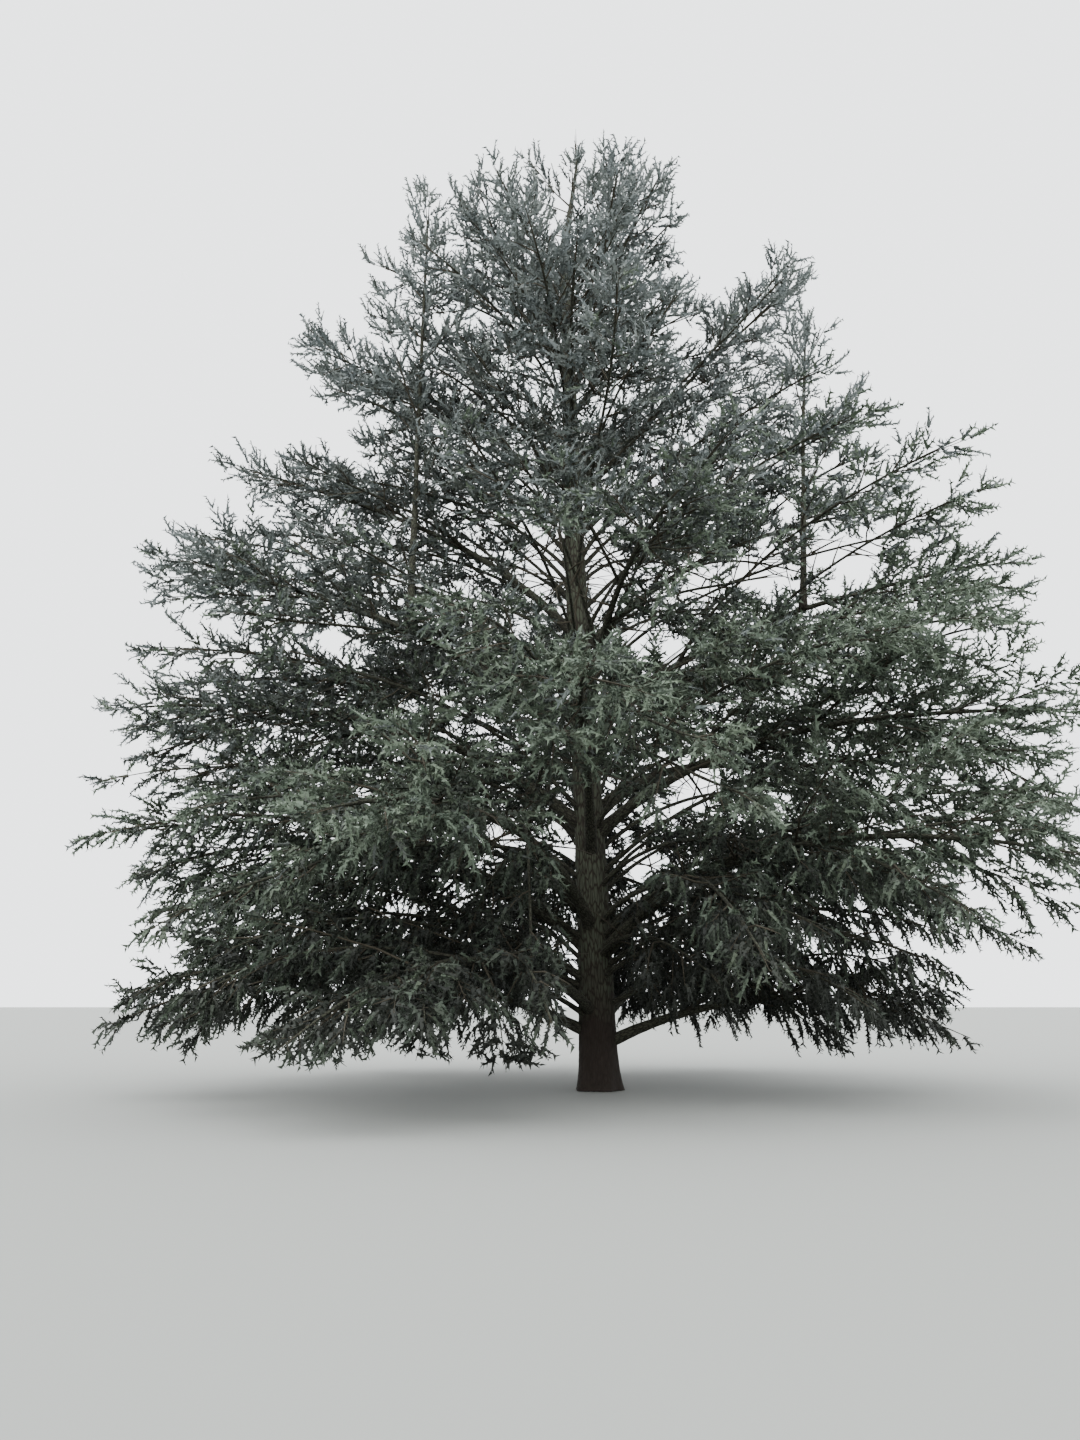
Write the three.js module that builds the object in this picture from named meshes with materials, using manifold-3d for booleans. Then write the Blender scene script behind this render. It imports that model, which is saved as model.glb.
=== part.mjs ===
// A mature blue atlas cedar, rooted in the ground: one leaning, tapering trunk, tiers of boughs that rise and
// level out, two upright leaders standing on boughs, and a mass of twigs with sprays of needles on each limb.
// Millimetres, +Z up, origin in the flat cut under the trunk. Bearings turn from +X (right) to +Y (back).
import * as THREE from 'three';
import { mergeVertices } from 'three/addons/utils/BufferGeometryUtils.js';
import Module from 'manifold-3d';

const wasm = await Module();
wasm.setup();

// Driving dimensions of the trunk. Its radius falls by TRUNK_TAPER for each millimetre of height.
const TRUNK_TOP = 18500;
const TRUNK_RADIUS = 372;
const TRUNK_TAPER = 0.0145;
const TRUNK_LEAN = 0.031;
const TRUNK_SWAY = 35;
const FLARE_RADIUS = 75;
const FLARE_HEIGHT = 380;
const FLARE_LOBES = 5;
const LOBE_DEPTH = 0.1;
const TRUNK_SIDES = 16;
const TRUNK_RINGS = 15;

// The gap between neighbouring pieces.
const CLEARANCE = 0.3;

// Driving dimensions of the limbs.
const LIMB_SIDES = 6;
const LIMB_RINGS = 5;
const LIMB_SWAY = 0.05;
const CURVE_HANDLE = 0.36;
const COLLAR_REACH = 780;
const COLLAR_SWELL = 0.35;
const STEM_STEPS = 4;
const STEM_END = 0.84;
const STEM_TIP_RADIUS = 20;

// Driving dimensions of the twigs and of their sprays. Angles are in degrees.
const TWIG_STEP = 560;
const FEWEST_TWIGS = 5;
const LAST_TWIG = 0.96;
const TWIG_THINNESS = 0.6;
const TWIG_TIP_RADIUS = 18;
const TWIG_TILT = 42;
const TWIG_ANGLE_FOOT = 66;
const TWIG_ANGLE_TIP = 36;
const TWIG_ANGLE_SCATTER = 4;
const GOLDEN_TURN = 137.5;
const SPRAY_SHARE = 0.73;
const SPRAY_FORWARD = 0.3;
const SPRAY_CENTRE = 0.45;
const SPRAY_THICKNESS = 0.045;
const SPRAY_DROOP = 0.09;
const SPRAY_ROLL = 50;
// Half of a spray's outline towards its tip, with two pairs of side teeth, as shares of its length.
const SPRAY_OUTLINE = [[0.4, 0.31], [0.47, 0.08], [0.79, 0.26], [0.76, 0.06], [1, 0]];

// A mass keeps to the space nearer to its own stem than to any other. Heights count for more than widths
// there, because the masses lie in tiers. A twig that would leave the space is tried at these shorter sizes.
const HEIGHT_WEIGHT = 1.5;
const SPACE_MARGIN = 110;
const LIMB_MARGIN = 70;
const GROUND_MARGIN = 350;
const CUT_BACK = [1, 0.82, 0.66];

// One row for each tier of limbs, from the ground up. foot is the height on the trunk where the tier starts
// and step the rise from limb to limb, rise and fall are the slopes at a limb's two ends, bare is the share of
// a limb that carries no foliage, and spread is the longest twig of its mass. A limb is given by its bearing
// and by the distance and height of its furthest tip.
const TIERS = [
  { name: 'skirt', foot: 760, step: 190, rise: 27, fall: -26, radius: 100, bare: 0.3, spread: 3100,
    limbs: [[350, 6800, 950], [62, 8700, 1150], [128, 8700, 1100], [190, 9000, 1150], [242, 9100, 950]] },
  { name: 'lower', foot: 2300, step: 180, rise: 44, fall: -17, radius: 128, bare: 0.3, spread: 3500,
    limbs: [[318, 9500, 3500], [24, 9500, 3900], [96, 9300, 4000], [176, 9500, 4100], [246, 9400, 3800]] },
  { name: 'broad', foot: 4300, step: 190, rise: 42, fall: -9, radius: 118, bare: 0.28, spread: 3500,
    limbs: [[268, 9000, 5700], [334, 9500, 6300], [44, 9400, 6600], [112, 9400, 6900], [190, 9500, 7000]] },
  { name: 'middle', foot: 6300, step: 200, rise: 46, fall: 3, radius: 106, bare: 0.32, spread: 3100,
    limbs: [[208, 8700, 9200], [338, 8600, 9500], [282, 6900, 9300], [52, 8400, 9800], [128, 8500, 10000]] },
  { name: 'upper', foot: 8600, step: 300, rise: 50, fall: 12, radius: 94, bare: 0.32, spread: 3000,
    limbs: [[8, 7300, 12400], [90, 7000, 12700], [188, 7500, 12500]] },
  { name: 'spur', foot: 12000, step: 0, rise: 50, fall: 42, radius: 70, bare: 0.5, spread: 2200,
    limbs: [[3, 5600, 18000]] },
  { name: 'high', foot: 11300, step: 350, rise: 52, fall: 24, radius: 70, bare: 0, spread: 2700,
    limbs: [[84, 5600, 16300], [172, 6200, 15900], [270, 4700, 15300]] },
  { name: 'crown', foot: 14500, step: 350, rise: 60, fall: 45, radius: 54, bare: 0, spread: 2300,
    limbs: [[314, 2900, 18900], [92, 3000, 19900], [214, 2900, 18600]] },
];

// Two middle boughs are arms that carry an upright leader, at a distance from the trunk.
const ARM_BARE = 0.6;
const LEADERS = [
  { name: 'left_leader', arm: 'middle_1', distance: 3800, height: 10300, lean: -150, radius: 78, bare: 0.24,
    spread: 2100 },
  { name: 'right_leader', arm: 'middle_2', distance: 4500, height: 6600, lean: 500, radius: 70, bare: 0.26,
    spread: 2100 },
];

// The mass on the trunk's own tip.
const TOP = { name: 'top', height: 2750, lean: 350, spread: 2000 };

const BARK = new THREE.MeshStandardMaterial({ color: 0x40382f, roughness: 0.95, metalness: 0 });
const NEEDLES = new THREE.MeshStandardMaterial({ color: 0x566763, roughness: 0.85, metalness: 0 });

const UP = new THREE.Vector3(0, 0, 1);
const { degToRad, lerp } = THREE.MathUtils;

// A seeded row of numbers from 0 to 1, the same on every run.
function seeded(seed) {
  let state = (seed * 7919 + 12345) >>> 0;
  return () => {
    state = (Math.imul(state, 1664525) + 1013904223) >>> 0;
    return state / 4294967296;
  };
}

// The middle of the trunk at a height: it leans towards -X with a slow sway.
function trunkAxis(z) {
  const x = -TRUNK_LEAN * z + TRUNK_SWAY * Math.sin(z / 2300);
  const y = TRUNK_SWAY * (Math.sin(z / 3100 + 1) - Math.sin(1));
  return new THREE.Vector3(x, y, z);
}

function trunkRadius(z, turn) {
  const flare = Math.exp(-z / FLARE_HEIGHT);
  const lobes = 1 + LOBE_DEPTH * flare * Math.cos(FLARE_LOBES * turn);
  return (TRUNK_RADIUS - TRUNK_TAPER * z + FLARE_RADIUS * flare) * lobes;
}

function indexedGeometry(points, index) {
  const geometry = new THREE.BufferGeometry();
  const positions = points.flatMap((p) => [p.x, p.y, p.z]);
  geometry.setAttribute('position', new THREE.Float32BufferAttribute(positions, 3));
  geometry.setIndex(index);
  return geometry;
}

// A closed geometry from rings of points, each turning anticlockwise seen from the last ring's side.
function ringGeometry(rings) {
  const sides = rings[0].length;
  const index = [];
  for (let ring = 0; ring + 1 < rings.length; ring += 1) {
    for (let s = 0; s < sides; s += 1) {
      const a = ring * sides + s;
      const b = ring * sides + ((s + 1) % sides);
      index.push(a, b, a + sides, b, b + sides, a + sides);
    }
  }
  const last = (rings.length - 1) * sides;
  for (let s = 1; s + 1 < sides; s += 1) {
    index.push(0, s + 1, s, last, last + s, last + s + 1);
  }
  return indexedGeometry(rings.flat(), index);
}

// The trunk as level rings that lie closer together at the root flare. A cutter is grown by a clearance.
function trunkGeometry(grown = 0) {
  const rings = [];
  for (let r = 0; r <= TRUNK_RINGS; r += 1) {
    const z = (TRUNK_TOP + grown) * (r / TRUNK_RINGS) ** 1.9;
    const centre = trunkAxis(z);
    const ring = [];
    for (let s = 0; s < TRUNK_SIDES; s += 1) {
      const turn = (2 * Math.PI * s) / TRUNK_SIDES;
      const radius = trunkRadius(z, turn) + grown;
      ring.push(new THREE.Vector3(Math.cos(turn) * radius, Math.sin(turn) * radius, 0).add(centre));
    }
    rings.push(ring);
  }
  return ringGeometry(rings);
}

// A tapering tube along a path. Each section is square to the path and turned as little as it can be.
function tubeGeometry({ points, radii, tangents }, sides) {
  const rings = [];
  let across = UP;
  points.forEach((point, i) => {
    const along = tangents[i];
    across = across.clone().addScaledVector(along, -across.dot(along)).normalize();
    const beside = new THREE.Vector3().crossVectors(along, across);
    const ring = [];
    for (let s = 0; s < sides; s += 1) {
      const turn = (2 * Math.PI * s) / sides;
      ring.push(point.clone()
        .addScaledVector(across, Math.cos(turn) * radii[i])
        .addScaledVector(beside, Math.sin(turn) * radii[i]));
    }
    rings.push(ring);
  });
  return ringGeometry(rings);
}

// The rim of a spray, a toothed blade, from its left side round its tip to its right, with its teeth bent down.
function sprayRim({ root, along, normal, length }) {
  const across = new THREE.Vector3().crossVectors(normal, along);
  const right = SPRAY_OUTLINE.slice(0, -1).reverse().map(([a, b]) => [a, -b]);
  return [...SPRAY_OUTLINE, ...right].map(([a, b]) => root.clone()
    .addScaledVector(along, a * length)
    .addScaledVector(across, b * length)
    .addScaledVector(normal, -SPRAY_DROOP * length * (a * a + 2 * b * b)));
}

// The two points over and under a spray's middle, where it is thickest.
function sprayApexes({ root, along, normal, length }) {
  const centre = root.clone()
    .addScaledVector(along, SPRAY_CENTRE * length)
    .addScaledVector(normal, -SPRAY_DROOP * length * SPRAY_CENTRE ** 2);
  return [0.5, -0.5].map((side) => centre.clone().addScaledVector(normal, side * SPRAY_THICKNESS * length));
}

// A three-sided stem or twig that runs out into its spray: its last section is the root of the blade.
function shootGeometry({ path, spray }) {
  const points = [];
  path.points.forEach((centre, i) => {
    const over = spray.normal.clone()
      .addScaledVector(path.tangents[i], -spray.normal.dot(path.tangents[i]))
      .normalize();
    const across = new THREE.Vector3().crossVectors(over, path.tangents[i]);
    for (const [a, b] of [[0.87, -0.5], [-0.87, -0.5], [0, 1]]) {
      points.push(centre.clone()
        .addScaledVector(across, a * path.radii[i])
        .addScaledVector(over, b * path.radii[i]));
    }
  });
  const index = [0, 1, 2];
  for (let ring = 0; ring + 3 < points.length; ring += 3) {
    for (const [a, b] of [[1, 0], [2, 1], [0, 2]]) {
      index.push(ring + a, ring + b, ring + 3 + a, ring + b, ring + 3 + b, ring + 3 + a);
    }
  }
  const left = points.length - 3;
  const [right, top, first] = [left + 1, left + 2, left + 3];
  const rim = sprayRim(spray);
  const [over, under] = [first + rim.length, first + rim.length + 1];
  const loop = [left, ...rim.map((_, i) => first + i), right];
  for (let i = 0; i + 1 < loop.length; i += 1) {
    index.push(loop[i + 1], loop[i], over, loop[i], loop[i + 1], under);
  }
  index.push(left, top, over, top, right, over, right, left, under);
  return indexedGeometry([...points, ...rim, ...sprayApexes(spray)], index);
}

function solidFrom(geometry) {
  const merged = mergeVertices(geometry, 1e-3);
  return new wasm.Manifold(new wasm.Mesh({
    numProp: 3,
    vertProperties: merged.getAttribute('position').array,
    triVerts: new Uint32Array(merged.index.array),
  }));
}

// The largest body of a solid, as a geometry in its group's own frame: any loose scrap is dropped.
function geometryFrom(solid, group) {
  const [largest] = solid.decompose().sort((a, b) => b.volume() - a.volume());
  const { vertProperties, triVerts } = largest.getMesh();
  const geometry = new THREE.BufferGeometry();
  geometry.setAttribute('position', new THREE.BufferAttribute(new Float32Array(vertProperties), 3));
  geometry.setIndex(new THREE.BufferAttribute(new Uint32Array(triVerts), 1));
  return geometry.applyMatrix4(group.matrixWorld.clone().invert());
}

// A group that stands in its parent at a place, turned about the vertical.
function placedGroup(parent, position, turn) {
  const group = new THREE.Group();
  group.position.copy(position);
  group.rotation.z = turn;
  parent.add(group);
  group.updateWorldMatrix(true, false);
  return group;
}

// A limb on the trunk leaves it rising, then levels out or falls to its furthest tip. Its curve lies in its
// group's frame, outwards along +X, with a slight sway to one side.
function trunkLimb(cedar, tier, number, seed) {
  const [bearing, reach, tip] = tier.limbs[number];
  const foot = tier.foot + tier.step * ((2 * number) % tier.limbs.length);
  const climb = tip - foot;
  const handle = CURVE_HANDLE * Math.hypot(reach, climb);
  const sway = LIMB_SWAY * reach * (number % 2 ? 1 : -1);
  const [rise, fall] = [degToRad(tier.rise), degToRad(tier.fall)];
  const curve = new THREE.CubicBezierCurve3(
    new THREE.Vector3(0, 0, 0),
    new THREE.Vector3(handle * Math.cos(rise), 0, handle * Math.sin(rise)),
    new THREE.Vector3(reach - handle * Math.cos(fall), sway, climb - handle * Math.sin(fall)),
    new THREE.Vector3(reach, 0, climb),
  );
  const group = placedGroup(cedar, trunkAxis(foot), degToRad(bearing));
  const { radius, bare, spread } = tier;
  return { name: `${tier.name}_${number + 1}`, group, curve, radius, bare, spread, seed, upright: false };
}

// A leader stands on its arm, nearly upright, and leans a little outwards.
function leaderLimb(limbs, leader, seed) {
  const arm = limbs.find(({ name }) => name === leader.arm);
  arm.bare = ARM_BARE;
  const foot = arm.curve.getPoints(200).find((p) => p.x > leader.distance);
  const { lean, height } = leader;
  const curve = new THREE.CubicBezierCurve3(
    new THREE.Vector3(0, 0, 0),
    new THREE.Vector3(0.35 * lean, 0, 0.33 * height),
    new THREE.Vector3(0.4 * lean, 0, 0.66 * height),
    new THREE.Vector3(lean, 0, height),
  );
  return { ...leader, arm, group: placedGroup(arm.group, foot, 0), curve, seed, upright: true };
}

function topLimb(cedar, seed) {
  const group = placedGroup(cedar, trunkAxis(TRUNK_TOP), 0);
  const curve = new THREE.LineCurve3(new THREE.Vector3(0, 0, 0), new THREE.Vector3(TOP.lean, 0, TOP.height));
  return { ...TOP, group, curve, radius: trunkRadius(TRUNK_TOP, 0), bare: 0, seed, upright: true };
}

function planLimbs(cedar) {
  const limbs = [];
  TIERS.forEach((tier, t) => {
    tier.limbs.forEach((_, number) => limbs.push(trunkLimb(cedar, tier, number, 100 * (t + 1) + number)));
  });
  LEADERS.forEach((leader, number) => limbs.push(leaderLimb(limbs, leader, 900 + number)));
  limbs.push(topLimb(cedar, 950));
  return limbs;
}

function limbRadius(limb, share) {
  return lerp(limb.radius, STEM_TIP_RADIUS, share ** 0.85);
}

function pointOn(limb, share) {
  return limb.curve.getPoint(share).applyMatrix4(limb.group.matrixWorld);
}

function directionOn(limb, share) {
  return limb.curve.getTangent(share).transformDirection(limb.group.matrixWorld);
}

// A stretch of a limb from one share of its curve to another, in the tree's frame.
function stretch(limb, from, to, steps) {
  const shares = Array.from({ length: steps + 1 }, (_, i) => lerp(from, to, i / steps));
  return {
    points: shares.map((share) => pointOn(limb, share)),
    radii: shares.map((share) => limbRadius(limb, share)),
    tangents: shares.map((share) => directionOn(limb, share)),
  };
}

// The bare stretch of a limb, swollen into a collar at its foot and cut clear of what carries it.
function boughSolid(limb, carrier) {
  const bare = stretch(limb, 0, limb.bare, LIMB_RINGS);
  bare.radii = bare.radii.map((radius, i) => {
    const distance = bare.points[i].distanceTo(bare.points[0]);
    return radius * (1 + COLLAR_SWELL * Math.exp(-distance / COLLAR_REACH));
  });
  return solidFrom(tubeGeometry(bare, LIMB_SIDES)).subtract(carrier);
}

// What a leader's foot is cut clear of: its arm, grown by the clearance.
function armCutter(arm) {
  const bare = stretch(arm, 0, arm.bare, LIMB_RINGS);
  bare.radii = bare.radii.map((radius) => radius + CLEARANCE);
  return solidFrom(tubeGeometry(bare, LIMB_SIDES));
}

// The way a spray lies: it goes on along a direction, with its upper face rolled a little off the vertical.
function sprayPose(along, random) {
  const guide = Math.abs(along.z) < 0.95 ? UP : new THREE.Vector3(1, 0, 0);
  const normal = guide.clone().addScaledVector(along, -guide.dot(along)).normalize();
  return { along, normal: normal.applyAxisAngle(along, degToRad(SPRAY_ROLL) * (2 * random() - 1)) };
}

// The stem of a mass is the rest of its limb's curve and ends in a spray. It starts just clear of its bough.
function growStem(limb, random) {
  const path = stretch(limb, limb.bare, STEM_END, STEM_STEPS);
  path.points[0].addScaledVector(path.tangents[0], CLEARANCE);
  const root = path.points[STEM_STEPS];
  const length = root.distanceTo(pointOn(limb, 1));
  return { path, spray: { ...sprayPose(path.tangents[STEM_STEPS], random), root, length } };
}

// The direction of a twig: it leans towards the stem's tip, more so further out. Twigs go by turns to left and
// right with a little tilt, or all round an upright stem.
function twigDirection(limb, share, place, number, random) {
  const along = directionOn(limb, share);
  const side = new THREE.Vector3(0, 1, 0).transformDirection(limb.group.matrixWorld);
  const over = new THREE.Vector3().crossVectors(along, side);
  const roll = limb.upright
    ? degToRad(GOLDEN_TURN * number)
    : Math.PI * (number % 2) + degToRad(TWIG_TILT) * (2 * random() - 1);
  const scatter = TWIG_ANGLE_SCATTER * (2 * random() - 1);
  const angle = degToRad(lerp(TWIG_ANGLE_FOOT, TWIG_ANGLE_TIP, place) + scatter);
  return along.clone().multiplyScalar(Math.cos(angle))
    .addScaledVector(side, Math.sin(angle) * Math.cos(roll))
    .addScaledVector(over, -Math.sin(angle) * Math.sin(roll));
}

// A twig and its spray at a place along the stem, as a function of its size. Twigs are longest a third of the
// way along the stem.
function growTwig(limb, place, number, random) {
  const share = lerp(limb.bare, STEM_END, place);
  const foot = pointOn(limb, share);
  const out = twigDirection(limb, share, place, number, random);
  const reach = limb.spread * (0.75 + 0.95 * place - 1.35 * place * place) * (0.85 + 0.3 * random());
  const pose = sprayPose(out.clone().addScaledVector(directionOn(limb, share), SPRAY_FORWARD).normalize(), random);
  const radius = Math.max(TWIG_THINNESS * limbRadius(limb, share), TWIG_TIP_RADIUS);
  return (size) => {
    const root = foot.clone().addScaledVector(out, (1 - SPRAY_SHARE) * reach * size);
    return {
      path: { points: [foot, root], radii: [radius, TWIG_TIP_RADIUS], tangents: [out, out] },
      spray: { ...pose, root, length: SPRAY_SHARE * reach * size },
    };
  };
}

// How far a point is from the nearest of a row of points, with heights counting for more.
function weightedDistance(point, row) {
  let least = Infinity;
  for (const other of row) {
    const [dx, dy, dz] = [point.x - other.x, point.y - other.y, point.z - other.z];
    least = Math.min(least, Math.hypot(dx, dy, HEIGHT_WEIGHT * dz));
  }
  return least;
}

function clearOfWood(point, limbs) {
  const height = Math.min(point.z, TRUNK_TOP);
  if (point.distanceTo(trunkAxis(height)) < trunkRadius(height, 0) + LIMB_MARGIN) {
    return false;
  }
  return limbs.every(({ wood }) => wood.points.every((centre, i) => (
    point.distanceTo(centre) > wood.radii[i] + LIMB_MARGIN
  )));
}

// True if a point is off the ground, nearer to this limb's stem than to any other, and clear of the wood.
function inSpace(point, limb, limbs) {
  if (point.z < GROUND_MARGIN) {
    return false;
  }
  const most = weightedDistance(point, limb.stem) + SPACE_MARGIN;
  const alone = limbs.every((other) => other === limb || weightedDistance(point, other.stem) > most);
  return alone && clearOfWood(point, limbs);
}

// Points all over a shoot where it is tested: along its twig, round its spray's rim and in to its middle.
function testPoints({ path, spray }) {
  const [foot, root] = path.points;
  const twig = [0.3, 0.5, 0.75].map((share) => foot.clone().lerp(root, share));
  const rim = [root, ...sprayRim(spray)];
  const edge = rim.flatMap((p, i) => [p, p.clone().lerp(rim[(i + 1) % rim.length], 0.5)]);
  const centre = root.clone().addScaledVector(spray.along, SPRAY_CENTRE * spray.length);
  const face = [0, 0.3, 0.6, 1].flatMap((share) => edge.map((p) => p.clone().lerp(centre, share)));
  return [...twig, ...face];
}

// One solid of stem, twigs and sprays. A twig that would leave the mass's space is cut back, and one that
// still leaves it is left out.
function massSolid(limb, limbs) {
  const random = seeded(limb.seed);
  let solid = solidFrom(shootGeometry(growStem(limb, random)));
  const leafy = limb.curve.getLength() * (STEM_END - limb.bare) * (1 - limb.firstTwig);
  const count = Math.max(FEWEST_TWIGS, Math.round(leafy / TWIG_STEP));
  for (let i = 0; i < count; i += 1) {
    const place = lerp(limb.firstTwig, LAST_TWIG, i / (count - 1));
    const grown = growTwig(limb, place, i, random);
    const twig = CUT_BACK.map(grown).find((shoot) => testPoints(shoot).every((p) => inSpace(p, limb, limbs)));
    if (twig) {
      solid = solid.add(solidFrom(shootGeometry(twig)));
    }
  }
  return solid;
}

function addMesh(group, name, solid, material) {
  const mesh = new THREE.Mesh(geometryFrom(solid, group), material);
  mesh.name = name;
  group.add(mesh);
}

const cedar = new THREE.Group();
const limbs = planLimbs(cedar);
for (const limb of limbs) {
  const onTrunk = limb.bare === 0 && !limb.upright;
  limb.firstTwig = onTrunk ? 0.25 : 0.05;
  limb.stem = stretch(limb, Math.max(limb.bare, 0.2), 1, 16).points;
  limb.wood = limb.bare > 0 ? stretch(limb, 0, limb.bare, 40) : { points: [], radii: [] };
}

const trunkCutter = solidFrom(trunkGeometry(CLEARANCE));
addMesh(cedar, 'trunk', solidFrom(trunkGeometry()), BARK);
for (const limb of limbs) {
  const mass = massSolid(limb, limbs);
  if (limb.bare > 0) {
    const carrier = limb.arm ? armCutter(limb.arm) : trunkCutter;
    addMesh(limb.group, `${limb.name}_bough`, boughSolid(limb, carrier), BARK);
    addMesh(limb.group, `${limb.name}_foliage`, mass, NEEDLES);
  } else {
    addMesh(limb.group, `${limb.name}_foliage`, mass.subtract(trunkCutter), NEEDLES);
  }
}

export default cedar;
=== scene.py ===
# A mature blue atlas cedar, rooted in the ground, in metres: trunk, boughs, twigs and needles over the CAD
# frame. +Z is up, -Y towards the camera, and the origin lies in the flat cut under the trunk.
import math

import bpy
import numpy as np
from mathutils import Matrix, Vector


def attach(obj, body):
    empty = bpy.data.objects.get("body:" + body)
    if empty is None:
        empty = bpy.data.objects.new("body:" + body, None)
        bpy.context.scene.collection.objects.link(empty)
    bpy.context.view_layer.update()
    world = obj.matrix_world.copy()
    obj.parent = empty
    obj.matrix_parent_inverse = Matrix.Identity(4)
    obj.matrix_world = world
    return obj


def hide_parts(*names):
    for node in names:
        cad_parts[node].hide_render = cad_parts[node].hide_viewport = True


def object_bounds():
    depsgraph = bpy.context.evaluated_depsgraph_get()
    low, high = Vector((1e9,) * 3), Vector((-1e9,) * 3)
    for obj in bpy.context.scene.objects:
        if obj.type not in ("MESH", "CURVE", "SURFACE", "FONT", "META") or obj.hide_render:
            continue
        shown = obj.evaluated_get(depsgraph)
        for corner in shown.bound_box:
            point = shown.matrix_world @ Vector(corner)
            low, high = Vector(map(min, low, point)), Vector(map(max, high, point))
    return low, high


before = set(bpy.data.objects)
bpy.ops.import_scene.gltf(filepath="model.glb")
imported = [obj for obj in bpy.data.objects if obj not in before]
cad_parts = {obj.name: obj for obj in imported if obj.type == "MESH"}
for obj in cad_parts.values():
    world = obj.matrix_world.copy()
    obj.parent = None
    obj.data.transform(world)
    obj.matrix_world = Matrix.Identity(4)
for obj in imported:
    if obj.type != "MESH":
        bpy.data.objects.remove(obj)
CAD_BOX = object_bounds()


# Trunk
# One leaning stem that tapers from a lobed root flare to the foot of the topmost twigs, 18.5 m up. Its bark
# is cracked along the grain into small scaly plates. It is swept as level rings, and nodes press in cracks.

TRUNK_TOP = 18.5
TRUNK_RADIUS = 0.372
TRUNK_TAPER = 0.0145
TRUNK_LEAN = 0.031
TRUNK_SWAY = 0.035
SWAY_LENGTHS = (2.3, 3.1)
SWAY_START = 1
FLARE_RADIUS = 0.075
FLARE_HEIGHT = 0.38
FLARE_LOBES = 5
LOBE_DEPTH = 0.1
TRUNK_SIDES = 96
TRUNK_RINGS = 780
# Over 1, this sets the rings closer together towards the foot.
RING_CROWDING = 1.25


def trunk_axis(z):
    """The middle of the trunk at one or more heights."""
    z = np.asarray(z, float)
    x = -TRUNK_LEAN * z + TRUNK_SWAY * np.sin(z / SWAY_LENGTHS[0])
    y = TRUNK_SWAY * (np.sin(z / SWAY_LENGTHS[1] + SWAY_START) - math.sin(SWAY_START))
    return np.stack([x, y, z], -1)


def trunk_radius(z, turn):
    """The trunk's radius at a height, in the direction of a turn about its axis."""
    flare = np.exp(-z / FLARE_HEIGHT)
    lobes = 1 + LOBE_DEPTH * flare * np.cos(FLARE_LOBES * turn)
    return (TRUNK_RADIUS - TRUNK_TAPER * z + FLARE_RADIUS * flare) * lobes


def linear(hex_colour):
    """An sRGB hex colour as linear RGBA."""
    channels = [int(hex_colour[i:i + 2], 16) / 255 for i in (1, 3, 5)]
    return [c / 12.92 if c <= 0.04045 else ((c + 0.055) / 1.055) ** 2.4 for c in channels] + [1]


def add_node(tree, kind, inputs=None, **settings):
    """Adds a node with its settings; each input takes a value, or a link from the socket given for it."""
    node = tree.nodes.new(kind)
    for name, value in settings.items():
        setattr(node, name, value)
    for key, value in (inputs or {}).items():
        if isinstance(value, bpy.types.NodeSocket):
            tree.links.new(value, node.inputs[key])
        else:
            node.inputs[key].default_value = value
    return node


def new_tree(name, inputs):
    """A geometry node tree with named inputs. Returns it, its Group Input and each input's identifier."""
    tree = bpy.data.node_groups.new(name, "GeometryNodeTree")
    tree.interface.new_socket("Geometry", in_out="INPUT", socket_type="NodeSocketGeometry")
    tree.interface.new_socket("Geometry", in_out="OUTPUT", socket_type="NodeSocketGeometry")
    names = {}
    for label, kind in inputs.items():
        socket = tree.interface.new_socket(label, in_out="INPUT", socket_type=f"NodeSocket{kind}")
        names[label] = socket.identifier
    return tree, add_node(tree, "NodeGroupInput").outputs, names


def end_tree(tree, geometry, material):
    """The end of every tree: instances made real, the material set, and the result put out."""
    real = add_node(tree, "GeometryNodeRealizeInstances", {"Geometry": geometry})
    painted = add_node(tree, "GeometryNodeSetMaterial", {"Geometry": real.outputs[0], "Material": material})
    add_node(tree, "NodeGroupOutput", {"Geometry": painted.outputs[0]})


def new_material(name, roughness, specular=0.5):
    """A new material, its node tree and its shader."""
    material = bpy.data.materials.new(name)
    material.use_nodes = True
    shader = material.node_tree.nodes["Principled BSDF"]
    shader.inputs["Roughness"].default_value = roughness
    shader.inputs["Specular IOR Level"].default_value = specular
    return material, material.node_tree, shader


def new_object(name, data):
    piece = bpy.data.objects.new(name, data)
    bpy.context.scene.collection.objects.link(piece)
    return piece


def run_tree(name, mesh, tree, names, values):
    """Runs a tree on a mesh and returns the result as a plain mesh object."""
    source = new_object(f"{name}_source", mesh)
    modifier = source.modifiers.new("nodes", "NODES")
    modifier.node_group = tree
    for label, value in values.items():
        modifier[names[label]] = value
    bpy.context.view_layer.update()
    evaluated = source.evaluated_get(bpy.context.evaluated_depsgraph_get())
    result = bpy.data.meshes.new_from_object(evaluated)
    source.modifiers.remove(modifier)
    bpy.data.objects.remove(source)
    return new_object(name, result)


def lift_to_ground(piece):
    """Presses what the relief has pushed below the ground back up to it."""
    flat = np.empty(3 * len(piece.data.vertices), np.float32)
    piece.data.vertices.foreach_get("co", flat)
    flat[2::3] = np.maximum(flat[2::3], 0)
    piece.data.vertices.foreach_set("co", flat)
    piece.data.update()


def add_attribute(mesh, name, kind, values):
    attribute = mesh.attributes.new(name, kind, "POINT")
    field = "vector" if kind == "FLOAT_VECTOR" else "value"
    attribute.data.foreach_set(field, np.asarray(values, np.float32).ravel())


def even_turns(sides):
    """Turns that stand evenly round a full circle."""
    return np.linspace(0, 2 * math.pi, sides, endpoint=False)


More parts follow.
